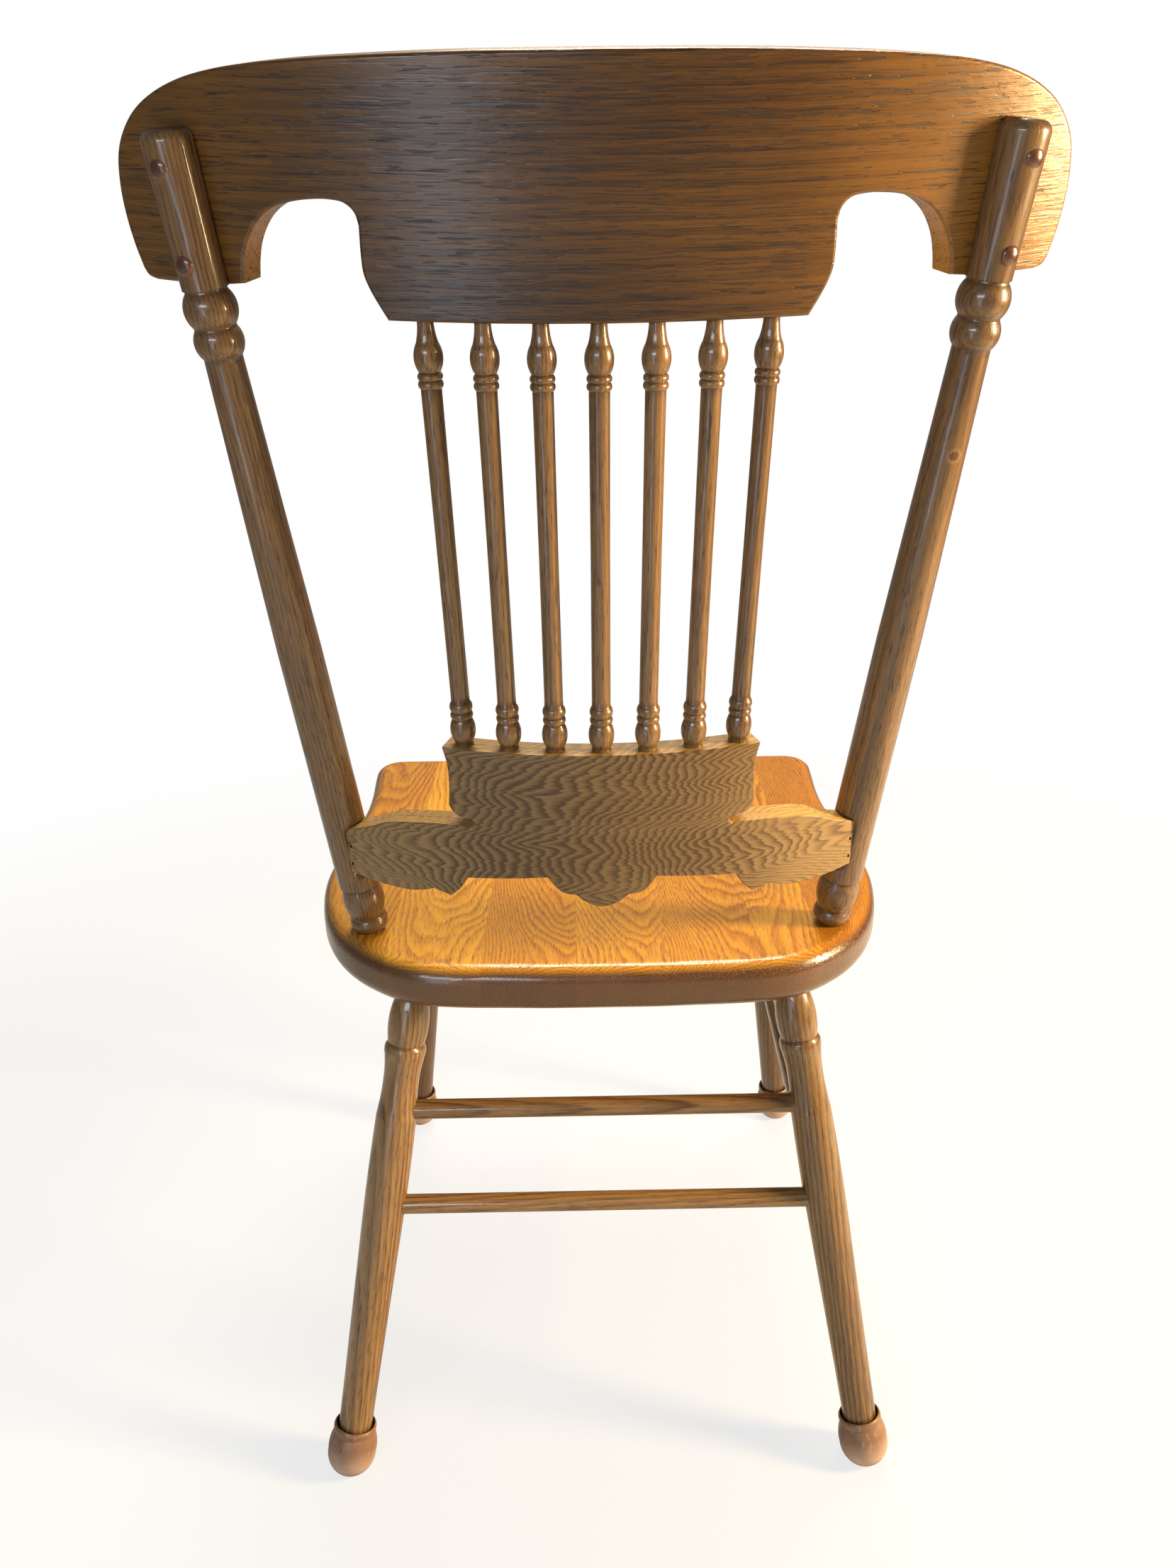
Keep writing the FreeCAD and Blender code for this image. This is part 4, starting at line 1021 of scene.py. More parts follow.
@dataclass(frozen=True)
class BackPost:
    """A turned back post: its foot, its direction and its outline."""

    hand: Hand
    foot_half_width: float = 181.5
    foot_depth: float = 376.0
    lean: float = 0.1841
    splay: float = 0.0974
    length: float = 560.0
    head_start: float = 477.8
    flat_offset: float = 6.0
    splat_flat_offset: float = 10.0
    splat_stretch: Place = (61.3, 105.2)
    knot_station: float = 376.5
    knot_reach: float = 12.6
    knot_side: Row = (-0.171, 0.966, -0.194)
    facets: int = 108
    step: float = 4.0
    rows: tuple[Row, ...] = (
        (0.0, 9.5, 0), (2.6, 9.5, 0), (2.6, 12.2, 2.2), (14.2, 12.5, 0), (15.5, 12.5, 3.0), (43.4, 13.2, 0),
        (46.0, 15.9, 0), (245.0, 14.9, 0), (439.0, 11.5, 0), (440.3, 12.5, 2.3), (455.5, 12.5, 0),
        (456.8, 12.5, 3.1), (475.4, 13.0, 0), (476.2, 12.4, 0), (477.4, 12.4, 0), (477.8, 13.5, 0),
        (554.0, 14.6, 1.5), (560.0, 8.6, 0))

    @property
    def direction(self) -> Vector:
        """The direction of the post's axis."""
        return self.hand.mirror(Vector((self.splay, self.lean, 1)).normalized())

    def axis(self, station: float) -> Vector:
        """A point of the post's axis, at a distance up it from the seat's top."""
        return self.hand.mirror(spot(self.foot_half_width, self.foot_depth, SEAT_TOP)) + self.direction * station

    def build(self, shop: Workshop, crest_normal: Vector, splat_normal: Vector) -> None:
        """Builds the post with its two flats.

        Args:
            shop: The materials and the dice.
            crest_normal: The direction out of the crest rail's rear.
            splat_normal: The direction off the splat's end.
        """
        flats = (
            Flat(crest_normal * -1, self.flat_offset, self.head_start, self.length + 1),
            Flat(splat_normal, self.splat_flat_offset, *self.splat_stretch),
        )
        sawn = Sawn.pick(shop.dice)
        finish = BACK_OAK
        if self.hand is Hand.RIGHT:
            side = self.direction.orthogonal().normalized()
            reach = Vector(self.knot_side) * self.knot_reach
            place = sawn.grain(reach.dot(side), reach.dot(self.direction.cross(side)), self.knot_station)
            finish = replace(BACK_OAK, name="back_oak_with_knot", knot=tuple(place))
        item = Turning(self.rows, facets=self.facets, coarse=self.step).build(
            f"post_{self.hand.label}", self.axis(0), self.direction, sawn, flats)
        shop.dress(item, finish, "turned_wood", f"back_post_{self.hand.label}")


@dataclass(frozen=True)
class Plugs:
    """The domed plugs over the screws of the crest rail."""

    stations: Place = (492.0, 541.5)
    seat_distance: float = 12.1
    radius: float = 6.0
    rise: float = 3.6
    stem_radius: float = 4.7
    stem_length: float = 4.6
    rim: float = 0.5
    crown_share: float = 0.12
    steps: int = 10
    facets: int = 40

    def build(self, shop: Workshop, post: BackPost, outward: Vector) -> None:
        """Builds both plugs of one post.

        Args:
            shop: The materials and the dice.
            post: The post that they sit in.
            outward: The direction out of the crest rail's rear.
        """
        turns = [math.pi / 2 * number / self.steps for number in range(self.steps)]
        dome = [(self.stem_length + self.rim + (self.rise - self.rim) * math.sin(turn),
                 self.radius * math.cos(turn), 0.0) for turn in turns]
        rows = ((0.0, self.stem_radius, 0.0), (self.stem_length, self.stem_radius, 0.0),
                (self.stem_length, self.radius, 0.0), *dome,
                (self.stem_length + self.rise, self.radius * self.crown_share, 0.0))
        for level, station in zip(("low", "high"), self.stations):
            base = post.axis(station) + outward * (self.seat_distance - self.stem_length)
            item = Turning(rows, facets=self.facets).build(
                f"plug_{level}_{post.hand.label}", base, outward, Sawn.pick(shop.dice, 0.01))
            shop.dress(item, PLUG_WOOD, "plug_wood", "button_plugs")


@dataclass(frozen=True)
class BentBoard:
    """What the crest rail and the splat have in common."""

    bend: Bend
    step: float = 2.0
    strip: float = 3.0
    rim_steps: int = 4
    crease: float = 50.0
    normal_weight: int = 100
    tones: tuple[Place, ...] = ((-300.0, 0.0), (300.0, 0.0))

    def tone_at(self, along: float) -> float:
        """How dark the board is painted at a place along it, read between the given tones; on the crest rail this
        is painted light and shade.

        Args:
            along: The place, in millimetres from the middle.

        Returns:
            The tone; a higher one is darker.
        """
        for (low, first), (high, last) in zip(self.tones, self.tones[1:]):
            if along <= high:
                share = min(max((along - low) / (high - low), 0.0), 1.0)
                return first + (last - first) * share * share * (3 - 2 * share)
        return self.tones[-1][1]

    def build(self, name: str, half: Sequence[Sequence[Place]], insets: Place, rounds: Place,
              sawn: Sawn, trims: Sequence[tuple[Vector, Vector]] = ()) -> bpy.types.Object:
        """Builds a bent board.

        Args:
            name: The object's name.
            half: The left half of its outline.
            insets: The distances of its two faces in from the form's rear face.
            rounds: The rounding of the rear rim and of the front rim.
            sawn: Where its wood comes from.
            trims: Planes that cut it off, as a place and a direction.

        Returns:
            The object.
        """
        outline = closed_outline(half, self.step)
        low, high = insets
        made = slab(outline, high - low, *rounds, self.rim_steps)
        widest = max(place.x for place in outline)
        slice_mesh(made, 0, frange(-widest + 1.0, widest - 1.0, self.strip))
        grain = made.verts.layers.float_vector.new("grain")
        made.verts.layers.float.new("hollow")
        edge, tone = (made.verts.layers.float.new(kind) for kind in ("edge", "tone"))
        for vert in made.verts:
            along, up, inset = vert.co
            vert[grain] = sawn.grain(up, inset + low, along)
            vert[tone] = sawn.tone + self.tone_at(along)
            # the edge value marks the cut walls and their roundings, which the finishes paint lighter: painted
            # light on the lit edges
            vert[edge] = min(min(inset / rounds[0], (high - low - inset) / rounds[1]), 1.0) ** 3
            vert.co = self.bend.place(along, up, inset + low) * MM
        for place, outwards in trims:
            trim_mesh(made, place * MM, outwards)
        return even_normals(finish_mesh(made, name, self.crease), self.normal_weight)


@dataclass(frozen=True)
class CrestRail(BentBoard):
    """The bent crest rail with its two arched cut-outs."""

    # painted light and shade along the rail: paler towards the sitter's right end (negative along), where the warm
    # side lamp falls, darker through the middle
    tones: tuple[Place, ...] = (
        (-265.0, -2.0), (-170.0, -0.4), (-90.0, 1.1), (-10.0, 1.35), (90.0, 1.2), (240.0, 0.35))
    thickness: float = 20.0
    half_length: float = 287.0
    top: float = 38.5
    panel_bottom: float = -93.6
    panel: float = 120.5
    throat: float = 133.2
    arch: float = -31.6
    outer: float = 209.0
    pad: float = -79.6

    def half_outline(self) -> list[list[Place]]:
        """The left half of the outline, from the middle of the lower edge round to the top.

        Returns:
            Runs of places, as closed_outline takes them.
        """
        low, panel, throat, arch = self.panel_bottom, self.panel, self.throat, self.arch
        outer, pad, end, top = self.outer, self.pad, self.half_length, self.top
        return [
            [(0, low), (panel, low)],
            [(panel, low), (panel + 6.5, low + 11), (throat - 2.7, low + 18), (throat - 0.4, low + 25),
             (throat, low + 34), (throat - 0.6, arch - 12.4)],
            [(throat - 0.6, arch - 12.4), (throat + 1.1, arch - 6.2), (throat + 6.3, arch - 1.6),
             (throat + 16, arch), (outer - 49, arch - 0.3), (outer - 39, arch - 1.6), (outer - 29, arch - 4.2),
             (outer - 21, arch - 8.2), (outer - 14, arch - 13.9), (outer - 8.5, arch - 20.9),
             (outer - 4.5, arch - 28.4), (outer - 1.7, arch - 37.4), (outer, pad + 1.6)],
            [(outer, pad + 1.6), (outer + 13, pad + 0.3), (outer + 29, pad), (outer + 50, pad - 0.9),
             (end - 15, pad - 0.9)],
            [(end - 15, pad - 0.9), (end - 9, pad + 0.8), (end - 6, pad + 5)],
            [(end - 6, pad + 5), (end - 2.5, pad + 17.6), (end - 0.2, pad + 33.6), (end - 0.4, top - 68.5),
             (end - 4, top - 52.5), (end - 10.5, top - 41.5), (end - 21, top - 31), (end - 36, top - 22),
             (end - 56, top - 14.5), (end - 82, top - 9), (end - 117, top - 5.2), (end - 162, top - 2.5),
             (end - 217, top - 0.6), (0, top)],
        ]

    def dress(self, shop: Workshop) -> None:
        """Builds the rail."""
        item = self.build("crest", self.half_outline(), (0.0, self.thickness), (2.2, 2.2),
                          Sawn(0.02, 0.0, 0.4, 0.04, 0.2))
        shop.dress(item, CREST_OAK, "board_wood", "crest_rail")


@dataclass(frozen=True)
class Splat(BentBoard):
    """The bent lower splat, glued from two plies."""

    tones: tuple[Place, ...] = ((-175.0, -1.5), (-60.0, 0.4), (60.0, 0.4), (175.0, -0.9))
    ply: float = 10.0
    top: float = 3.7
    block: float = 107.0
    slot_end: float = 89.3
    slot: float = -53.1
    half_slot: float = 3.0
    end_top: float = -83.0
    end_bottom: float = -115.3
    end_rise: float = 4.0
    lower: float = -92.9
    point_low: float = -116.6
    post_arc: float = 197.5

    def half_outline(self) -> list[list[Place]]:
        """The left half of the outline, from the lowest point round to the middle of the top.

        Returns:
            Runs of places, as closed_outline takes them.
        """
        low, lower, block, top = self.point_low, self.lower, self.block, self.top
        slot_end, slot, half_slot = self.slot_end, self.slot, self.half_slot
        end_top, end_bottom, arc = self.end_top, self.end_bottom, self.post_arc
        tail = arc + 16
        return [
            [(0, low), (6.2, low + 1.2), (12.2, low + 4.2), (18.8, low + 9.8)],
            [(18.8, low + 9.8), (24.3, low + 10.4), (29, low + 12.2), (33.6, low + 16.6), (38.5, lower)],
            [(38.5, lower), (97.5, lower - 6)],
            [(97.5, lower - 6), (103, lower - 15.3), (111, lower - 23.1)],
            [(111, lower - 23.1), (118, lower - 21.4), (124.5, lower - 19.5)],
            [(124.5, lower - 19.5), (131, lower - 22.2), (144, lower - 25.2), (157, end_bottom - 3.2),
             (172, end_bottom - 3.2), (arc - 4, end_bottom), (tail, end_bottom + 5)],
            [(tail, end_bottom + 5), (tail, end_top - 9)],
            [(tail, end_top - 9), (arc, end_top), (arc - 11, end_top + self.end_rise),
             (arc - 31, end_top + 11.2), (arc - 48, end_top + 18.9),
             (130, slot - 5.5), (108, slot - half_slot - 0.4), (slot_end + half_slot, slot - half_slot)],
            [(slot_end + half_slot, slot - half_slot), (slot_end, slot), (slot_end + half_slot, slot + half_slot)],
            [(slot_end + half_slot, slot + half_slot), (block - 6.5, slot + 4.3), (block - 2.2, slot + 7.2),
             (block + 1, slot + 12.6)],
            [(block + 1, slot + 12.6), (block, slot + 23), (block - 0.4, top - 20),
             (block + 0.4, top - 11), (block + 3, top)],
            [(block + 3, top), (0, top)],
        ]

    def dress(self, shop: Workshop, trims: Sequence[tuple[Vector, Vector]]) -> None:
        """Builds both plies, cut off where they meet the posts.

        Args:
            shop: The materials and the dice.
            trims: The planes where the posts cut them off.
        """
        faces = (0.0, self.ply, self.ply * 2)
        plies = (
            ("splat_rear_ply", (faces[0], faces[1]), (0.9, 0.25), Sawn(0.0, 0.0, 0.11, 0.0, -0.1)),
            ("splat_front_ply", (faces[1], faces[2]), (0.25, 0.9), Sawn(0.011, -0.006, 1.31, 0.05, 0.25)),
        )
        for name, insets, rounds, sawn in plies:
            item = self.build(name.replace("_ply", ""), self.half_outline(), insets, rounds, sawn, trims)
            shop.dress(item, SPLAT_OAK, "board_wood", name)


@dataclass(frozen=True)
class Spindles:
    """The seven turned spindles between the splat and the crest rail."""

    count: int = 7
    foot_pitch: float = 31.05
    head_pitch: float = 33.1
    neck: float = 4.8
    shaft: float = 6.25
    waist: float = 6.05
    bead: float = 6.5
    swell: float = 1.15
    fine: float = 0.5
    facets: int = 56

    def rows(self, length: float) -> tuple[Row, ...]:
        """The turned outline.

        Args:
            length: What shows of the spindle.

        Returns:
            Its rows, from inside the splat to inside the crest rail.
        """
        return (
            (-6.0, self.neck, 0), (0.25, self.neck, 0), (0.25, 6.6, 0), (2.6, self.shaft, 2.25),
            (19.5, self.bead, self.swell), (24.6, self.bead, self.swell * 1.2), (32.0, self.shaft, 0),
            (length / 2, self.waist, 0), (length - 38.8, self.shaft, self.swell),
            (length - 34.0, self.bead, self.swell), (length - 29.6, self.shaft, 2.2),
            (length - 13.3, 6.6, -0.35), (length - 2.8, self.neck, 0), (length + 8.0, self.neck, 0))

    def build(self, shop: Workshop, crest: CrestRail, splat: Splat) -> None:
        """Builds all the spindles.

        Args:
            shop: The materials and the dice.
            crest: The rail that their heads go into.
            splat: The splat that their feet stand in.
        """
        for number in range(1, self.count + 1):
            place = (self.count + 1) / 2 - number
            foot = splat.bend.point(place * self.foot_pitch, splat.top, splat.ply)
            head = crest.bend.point(place * self.head_pitch, crest.panel_bottom, crest.thickness / 2)
            span = head - foot
            item = Turning(self.rows(span.length), fine=self.fine, facets=self.facets).build(
                f"spindle_turned_{number}", foot, span, Sawn.pick(shop.dice))
            shop.dress(item, BACK_OAK, "turned_wood", f"spindle_{number}")


@dataclass(frozen=True)
class Leg:
    """A turned leg with its soft cap."""

    end: str
    hand: Hand
    top_half_width: float
    top_depth: float
    foot_half_width: float
    foot_depth: float
    foot_height: float = 19.5
    past_foot: float = 9.5
    cap_ball: float = 20.6
    front_tone: float = 2.4
    rows: tuple[Row, ...] = (
        (-6.0, 12.8, 0), (4.2, 12.8, 2.3), (41.0, 14.2, 0), (43.5, 15.9, 0.4), (50.0, 15.9, -0.5),
        (72.0, 14.0, -0.5), (102.0, 15.9, 0.65), (215.0, 15.9, 0), (330.0, 14.0, 0))
    end_rows: tuple[Row, ...] = ((-1.5, 13.2, 0), (0.0, 11.7, 0))
    facets: int = 84
    cap_rows: tuple[Row, ...] = (
        (0.0, 6.0, 4.2), (20.6, 19.6, 1.3), (38.5, 16.4, 0), (41.75, 17.3, 0.5), (45.0, 16.3, 0.2),
        (45.2, 15.4, 0), (38.0, 14.6, 0), (31.0, 13.6, 0), (12.0, 13.4, 0))
    wood_end: float = 14.0
    wood_blend: float = 16.0

    @property
    def top(self) -> Vector:
        """Where the axis meets the seat's underside."""
        return self.hand.mirror(spot(self.top_half_width, self.top_depth, SEAT_TOP - SEAT_THICKNESS))

    @property
    def foot(self) -> Vector:
        """The centre of the cap's ball."""
        return self.hand.mirror(spot(self.foot_half_width, self.foot_depth, self.foot_height))

    def at_height(self, height: float) -> Vector:
        """The point of the axis at a height above the floor."""
        way = self.foot - self.top
        return self.top + way * ((height - self.top.z) / way.z)

    def build(self, shop: Workshop) -> None:
        """Builds the leg and its cap.

        Args:
            shop: The materials and the dice.
        """
        way = self.foot - self.top
        end = way.length + self.past_foot
        rows = (*self.rows, *((end + station, radius, swell) for station, radius, swell in self.end_rows))
        name = f"{self.end}_leg_{self.hand.label}"
        sawn = Sawn.pick(shop.dice)
        # painted shade: the front legs are made darker, for the shade they stand in
        if self.end == "front":
            sawn = replace(sawn, tone=sawn.tone + self.front_tone)
        item = Turning(rows, facets=self.facets).build(name.replace("leg", "leg_turned"), self.top, way, sawn)
        shop.dress(item, LEG_OAK, "turned_wood", name)
        self.build_cap(shop, way.normalized() * -1)

    def build_cap(self, shop: Workshop, up: Vector) -> None:
        """Builds the soft cap, pressed flat on the floor.

        Args:
            shop: The materials and the dice.
            up: The direction up the leg's axis.
        """
        cap = Turning(self.cap_rows, fine=0.8, coarse=1.5)
        walls = [min(max((station - self.wood_end) / self.wood_blend, 0.0), 1.0) for station, _ in cap.samples()]
        item = cap.build(f"{self.end}_cap_{self.hand.label}", self.foot - up * self.cap_ball, up,
                         Sawn.pick(shop.dice), floor=0.0, edges=walls)
        shop.dress(item, CAP_SILICONE, "cap_silicone", f"{self.end}_foot_cap_{self.hand.label}")


@dataclass(frozen=True)
class Stretcher:
    """A plain round stretcher between two legs."""

    name: str
    height: float
    radius: float = 7.6
    belly: float = 0.05
    facets: int = 48
    step: float = 8.0

    def build(self, shop: Workshop, first: Leg, second: Leg) -> None:
        """Builds the stretcher from axis to axis.

        Args:
            shop: The materials and the dice.
            first: The leg where it starts.
            second: The leg where it ends.
        """
        start, finish = first.at_height(self.height), second.at_height(self.height)
        length = (finish - start).length
        rows = ((0.0, self.radius, 0), (length / 2, self.radius + self.belly, 0), (length, self.radius, 0))
        item = Turning(rows, facets=self.facets, coarse=self.step).build(
            self.name.replace("stretcher", "rung"), start, finish - start, Sawn.pick(shop.dice))
        shop.dress(item, LEG_OAK, "turned_wood", self.name)


@dataclass(frozen=True)
class Seat:
    """The shaped seat, cut into its staves."""

    depth: float = 449.0
    half_width: float = 236.0
    waist: Place = (225.0, 120.0)
    front: float = 230.0
    corner: float = 27.0
    widest_depth: float = 272.0
    top_round: float = 13.0
    bottom_round: float = 15.0
    joints: tuple[float, ...] = (165.0, 91.0, 20.0, -50.0, -119.0, -168.0)
    scoop_depth: float = 9.0
    scoop_bowl: float = 60.0
    scoop_half: Place = (188.0, 186.0)
    scoop_centre: float = 222.0
    soft: float = 0.9
    clear: float = -6.0
    sunk: float = 0.05
    overhang: float = 10.0
    log_across: Place = (-0.05, 0.05)
    log_through: Place = (-0.03, 0.02)
    log_along: Place = (-2, 2)
    log_turn: Place = (-0.5, 0.5)
    grid: float = 5.0
    margin: float = 4.0
    rim_steps: int = 8
    crease: float = 45.0
    normal_weight: int = 60
    # where the rim's painted shade, partly end grain, starts on the top rounding and how fast it grows
    rim_shade_level: float = 0.90
    rim_shade_blend: float = 0.3
    tones: tuple[float, ...] = (0.2, -1.3, 0.3, -0.2, 0.3, -0.1, 1.3)
    rear_insets: tuple[Place, ...] = ((5.3, 129.0), (14.5, 94.3), (30.0, 62.0), (53.4, 34.0), (92.0, 9.4),
                                      (180.0, 0.7))

    def outline(self) -> list[Vector]:
        """The seat's outline, counter-clockwise from the middle of its front edge.

        Returns:
            The places, once round.
        """
        middle = self.front - self.corner
        turns = frange(-math.pi / 2, 0, math.pi / 2 / 16)
        corner = [(middle + self.corner * math.cos(turn), self.corner * (1 + math.sin(turn))) for turn in turns]
        side = [corner[-1], self.waist, (self.half_width, self.widest_depth)]
        side += [(self.half_width - inset, self.depth - back) for inset, back in self.rear_insets]
        side.append((0.0, self.depth))
        half = [[(0.0, 0.0), corner[0]], *[[low, high] for low, high in zip(corner, corner[1:])], side]
        return closed_outline(half, 3.0)

    def dish(self, across: float, depth: float) -> float:
        """How deep the dish is at a place.

        Args:
            across: Millimetres to the sitter's left.
            depth: Millimetres behind the seat's front edge.

        Returns:
            The depth, in millimetres.
        """
        rim = self.scoop_bowl - self.scoop_depth
        spread = math.sqrt(1 - (rim / self.scoop_bowl) ** 2)
        reach = sum(((value * spread / half) ** 2) for value, half in
                    ((across, self.scoop_half[0]), (depth - self.scoop_centre, self.scoop_half[1])))
        sink = self.scoop_bowl * math.sqrt(max(1 - reach, 0.0)) - rim
        return (sink + math.sqrt(sink ** 2 + self.soft ** 2)) / 2 if sink > self.clear else 0.0

    def build(self, shop: Workshop) -> None:
        """Builds the staves.

        Args:
            shop: The materials and the dice.
        """
        outline = self.outline()
        made = slab(outline, SEAT_THICKNESS, self.bottom_round, self.top_round, self.rim_steps)
        slice_mesh(made, 0, frange(-self.half_width + self.margin, self.half_width - self.margin, self.grid))
        slice_mesh(made, 1, frange(self.margin, self.depth - self.margin, self.grid))
        for vert in made.verts:
            if vert.co.z > SEAT_THICKNESS - 1e-4:
                vert.co.z -= self.dish(vert.co.x, vert.co.y)
        lines = [self.half_width + self.overhang, *self.joints, -self.half_width - self.overhang]
        for number, (left, right) in enumerate(zip(lines, lines[1:]), start=1):
            stave = made.copy()
            trim_mesh(stave, Vector((left, 0, 0)), Vector((1, 0, 0)))
            trim_mesh(stave, Vector((right, 0, 0)), Vector((-1, 0, 0)))
            self.dress_stave(shop, stave, number, (left + right) / 2)
        made.free()

    def dress_stave(self, shop: Workshop, stave: bmesh.types.BMesh, number: int, middle: float) -> None:
        """Gives one stave its own wood and its place.

        Args:
            shop: The materials and the dice.
            stave: The stave's mesh.
            number: Its number, from the left.
            middle: Where its middle lies across the seat.
        """
        dice = shop.dice
        sawn = Sawn(dice.uniform(*self.log_across), dice.uniform(*self.log_through),
                    dice.uniform(*self.log_along), dice.uniform(*self.log_turn), self.tones[number - 1])
        grain = stave.verts.layers.float_vector.new("grain")
        layers = {name: stave.verts.layers.float.new(name) for name in ("hollow", "edge", "tone")}
        flat = SEAT_THICKNESS - self.top_round
        for vert in stave.verts:
            across, depth, level = vert.co
            vert[grain] = sawn.grain(across - middle, level, depth)
            # Painted shade: the edge value darkens the rim's rounding below the top, partly the staves' end grain.
            share = min(max((level - flat) / self.top_round, 0.0), 1.0)
            inside = self.dish(across, depth) > self.sunk
            rim_shade = min(max((self.rim_shade_level - share) / self.rim_shade_blend, 0.0), 1.0)
            vert[layers["edge"]] = 0.0 if inside else rim_shade
            vert[layers["tone"]] = sawn.tone
            vert.co = spot(across, depth, level + SEAT_TOP - SEAT_THICKNESS) * MM
        item = even_normals(finish_mesh(stave, f"stave_{number}", self.crease), self.normal_weight)
        shop.dress(item, SEAT_OAK, "seat_wood", f"seat_stave_{number}")


@dataclass(frozen=True)
class Chair:
    """The whole chair: it knows how its sub-assemblies meet."""

    crest_radius: float = 570.0
    crest_lean: float = math.radians(12.8343)
    crest_depth: float = 519.522
    crest_height: float = 979.6
    crest_contact: float = 576.05
    splat_radius: float = 360.0
    splat_lean: float = math.radians(6.0)
    splat_depth: float = 468.304
    splat_height: float = 615.5
    splat_end_station: float = 75.99
    splat_end_radius: float = 347.8
    head_station: float = 518.9
    front_leg: tuple[float, ...] = (168.0, 70.0, 209.1, 42.6)
    rear_leg: tuple[float, ...] = (147.0, 411.8, 212.3, 496.6)
    front_rungs: Place = (314.0, 230.0)
    rear_rungs: Place = (310.2, 231.6)
    side_rungs: Place = (270.0, 188.0)

    def build(self, shop: Workshop) -> None:
        """Builds every sub-assembly in order.

        Args:
            shop: The materials and the dice.
        """
        crest = CrestRail(Bend(self.crest_radius, self.crest_lean, spot(0, self.crest_depth, self.crest_height)))
        bend = Bend(self.splat_radius, self.splat_lean, spot(0, self.splat_depth, self.splat_height))
        posts = {hand: BackPost(hand) for hand in Hand}
        end_across = posts[Hand.LEFT].axis(self.splat_end_station).x
        head_across = posts[Hand.LEFT].axis(self.head_station).x
        splat = Splat(bend, post_arc=self.splat_radius * math.asin(end_across / self.splat_end_radius))
        Seat().build(shop)
        self.build_base(shop)
        trims = []
        for hand, post in posts.items():
            crest_normal = hand.mirror(crest.bend.normal(head_across, self.crest_contact))
            across = bend.normal(end_across, self.splat_end_radius).cross(bend.upward)
            across = across if across.x < 0 else across * -1
            axis = posts[Hand.LEFT].direction
            splat_normal = hand.mirror((across - axis * across.dot(axis)).normalized())
            trims.append((post.axis(self.splat_end_station) + splat_normal * post.splat_flat_offset,
                          splat_normal * -1))
            post.build(shop, crest_normal, splat_normal)
            Plugs().build(shop, post, crest_normal)
        crest.dress(shop)
        splat.dress(shop, trims)
        Spindles().build(shop, crest, splat)
        for node, finish in (("back_screws", SCREW_STEEL), ("splat_brads", BRAD_STEEL)):
            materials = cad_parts[node].data.materials
            materials.clear()
            materials.append(shop.material(finish))
            LOG.info("%s keeps its own shape", node)

    def build_base(self, shop: Workshop) -> None:
        """Builds the legs and the stretchers.

        Args:
            shop: The materials and the dice.
        """
        legs = {}
        for hand in Hand:
            legs["front", hand] = Leg("front", hand, *self.front_leg)
            legs["rear", hand] = Leg("rear", hand, *self.rear_leg)
        for leg in legs.values():
            leg.build(shop)
        heights = {"front": self.front_rungs, "rear": self.rear_rungs, "side": self.side_rungs}
        for index, level in enumerate(("upper", "lower")):
            for end in ("front", "rear"):
                Stretcher(f"{end}_stretcher_{level}", heights[end][index]).build(
                    shop, legs[end, Hand.RIGHT], legs[end, Hand.LEFT])
            for hand in Hand:
                Stretcher(f"{hand.label}_stretcher_{level}", heights["side"][index]).build(
                    shop, legs["front", hand], legs["rear", hand])


# ---- studio ----

@dataclass(frozen=True)
class Lamp:
    """A soft rectangular lamp aimed at the chair."""

    name: str
    place: Vector
    aim: Vector
    size: Place
    power: float
    colour: Colour

    def build(self) -> None:
        """Hangs the lamp."""
        light = bpy.data.lights.new(self.name, "AREA")
        light.shape = "RECTANGLE"
        light.size, light.size_y = self.size
        light.energy = self.power
        light.color = self.colour
        item = bpy.data.objects.new(self.name, light)
        bpy.context.scene.collection.objects.link(item)
        item.location = self.place
        item.rotation_mode = "QUATERNION"
        item.rotation_quaternion = (self.aim - self.place).to_track_quat("-Z", "Y")


CHAIR_MIDDLE = Vector((0.0, 0.0, 0.55))
LAMPS = (
    Lamp("overhead", Vector((-0.25, -1.0, 2.5)), Vector((0, -0.05, 0.45)), (1.2, 0.9), 62.0, (1.0, 0.92, 0.78)),
    Lamp("warm_side", Vector((-1.9, 0.50, 1.10)), CHAIR_MIDDLE, (0.4, 0.8), 118.0, (1.0, 0.72, 0.36)),
    Lamp("cool_fill", Vector((0.85, 2.3, 1.25)), CHAIR_MIDDLE, (1.2, 0.35), 21.0, (0.80, 0.89, 1.0)),
    Lamp("low_window", Vector((0.75, 1.75, 0.42)), Vector((0.08, 0.25, 0.95)), (0.36, 0.8), 3.6,
         (0.62, 0.80, 1.0)),
)


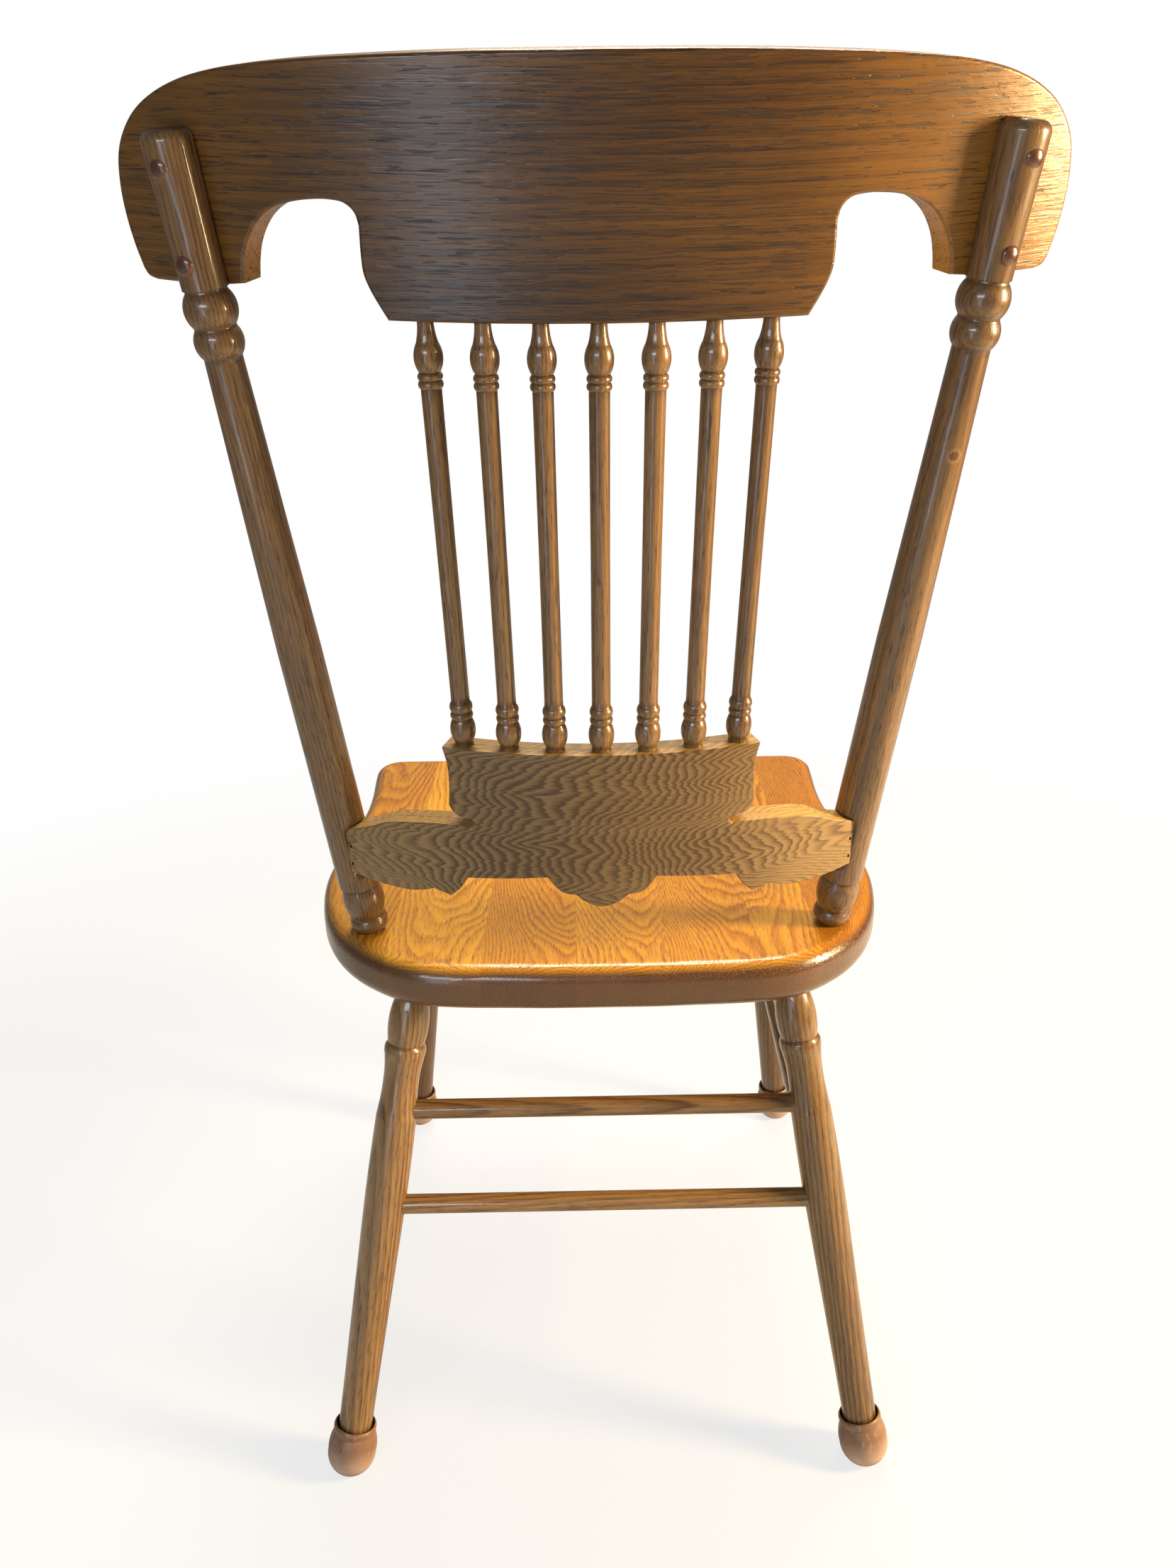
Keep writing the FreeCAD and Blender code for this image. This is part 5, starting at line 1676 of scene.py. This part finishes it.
@dataclass(frozen=True)
class Studio:
    """A pale sweep, soft lamps and the camera at the photograph's angle."""

    eye: Vector = Vector((0.0150, 0.95545, 0.90398))
    yaw: float = -0.0074
    pitch: float = 0.3855
    roll: float = -0.0129
    focal_pixels: float = 1701.2866
    sensor: float = 36.0
    sweep_half: float = 4.5
    sweep_bend: float = 1.2
    sweep_spread: float = 1.3
    sweep_height: float = 4.5
    sweep_crease: float = 60.0
    paper: Colour = (0.62, 0.62, 0.62)
    white_near: float = 0.76
    white_reach: Place = (0.7, 1.7)
    air: Colour = (1.0, 0.97, 0.91)
    white: Colour = (1.0, 1.0, 1.0)
    world_level: float = 0.14
    mirrored: float = 0.07

    def build(self) -> None:
        """Builds the sweep, the world, the lamps and the camera."""
        self.build_sweep()
        self.build_world()
        for lamp in LAMPS:
            lamp.build()
        self.build_camera()

    def build_sweep(self) -> None:
        """Builds the floor, which curves up behind the chair."""
        made = bmesh.new()
        half, bend = self.sweep_half, self.sweep_bend
        path = [(half, 0.0), (-half + bend, 0.0)]
        turns = frange(0, math.pi / 2, math.pi / 32)[1:]
        path += [(-half + bend - bend * math.sin(turn), bend * (1 - math.cos(turn))) for turn in turns]
        path.append((-half, self.sweep_height))
        sides = (-self.sweep_spread * half, self.sweep_spread * half)
        rows = [[made.verts.new((side, depth, height)) for side in sides] for depth, height in path]
        for low, high in zip(rows, rows[1:]):
            made.faces.new((low[0], low[1], high[1], high[0]))
        sweep = finish_mesh(made, "pale_sweep", self.sweep_crease)
        recipe, material = Recipe.for_material("pale_paper")
        seen = self.background_share(recipe)
        place = recipe.node("ShaderNodeTexCoord", {}, {}, "Object")
        reach = recipe.node("ShaderNodeVectorMath", {"operation": "LENGTH"}, {0: place}, "Value")
        share = seen * (self.white_near + reach.between(*self.white_reach) * (1.0 - self.white_near))
        paper = recipe.node("ShaderNodeBsdfDiffuse", {}, {"Color": self.paper})
        glow = recipe.node("ShaderNodeEmission", {}, {"Color": self.white, "Strength": 1.0})
        surface = recipe.node("ShaderNodeMixShader", {}, {0: share, 1: paper, 2: glow})
        recipe.node("ShaderNodeOutputMaterial", {}, {"Surface": surface})
        sweep.data.materials.append(material)

    def background_share(self, recipe: Recipe) -> Signal:
        """How much of the white background a ray sees: all of it straight, less of it in a reflection.

        Args:
            recipe: The node tree that asks.

        Returns:
            A signal between 0 and 1.
        """
        light_path = recipe.node("ShaderNodeLightPath", {}, {}, "Is Camera Ray")
        glossy, clear = (light_path.other(name) for name in ("Is Glossy Ray", "Is Transmission Ray"))
        return (light_path + (glossy + clear) * self.mirrored).held()

    def build_world(self) -> None:
        """Lights the room evenly, and shows it white where it is seen."""
        world = bpy.data.worlds.new("room")
        bpy.context.scene.world = world
        world.use_nodes = True
        recipe = Recipe(world.node_tree)
        share = self.background_share(recipe)
        colour = recipe.mix(share, self.air, self.white)
        background = recipe.node("ShaderNodeBackground", {}, {
            "Color": colour, "Strength": share * (1.0 - self.world_level) + self.world_level})
        recipe.node("ShaderNodeOutputWorld", {}, {"Surface": background})

    def build_camera(self) -> None:
        """Places the camera where the photograph was taken from."""
        forward = Vector((math.sin(self.yaw) * math.cos(self.pitch), -math.cos(self.yaw) * math.cos(self.pitch),
                          -math.sin(self.pitch)))
        right = forward.cross(Vector((0, 0, 1))).normalized()
        up = right.cross(forward)
        turned_right = right * math.cos(self.roll) + up * math.sin(self.roll)
        turned_up = up * math.cos(self.roll) - right * math.sin(self.roll)
        data = bpy.data.cameras.new("camera")
        data.sensor_width = self.sensor
        data.lens = self.focal_pixels / PHOTO_HEIGHT * self.sensor
        camera = bpy.data.objects.new("camera", data)
        bpy.context.scene.collection.objects.link(camera)
        axes = Matrix((turned_right, turned_up, forward * -1)).transposed()
        camera.matrix_world = Matrix.Translation(self.eye) @ axes.to_4x4()
        bpy.context.scene.camera = camera


def main() -> None:
    """Builds the chair, then the studio."""
    logging.basicConfig(level=logging.INFO, format="%(message)s")
    shop = Workshop()
    Chair().build(shop)
    Studio().build()
    bpy.context.scene.view_settings.view_transform = "Standard"


if __name__ == "__main__":
    main()
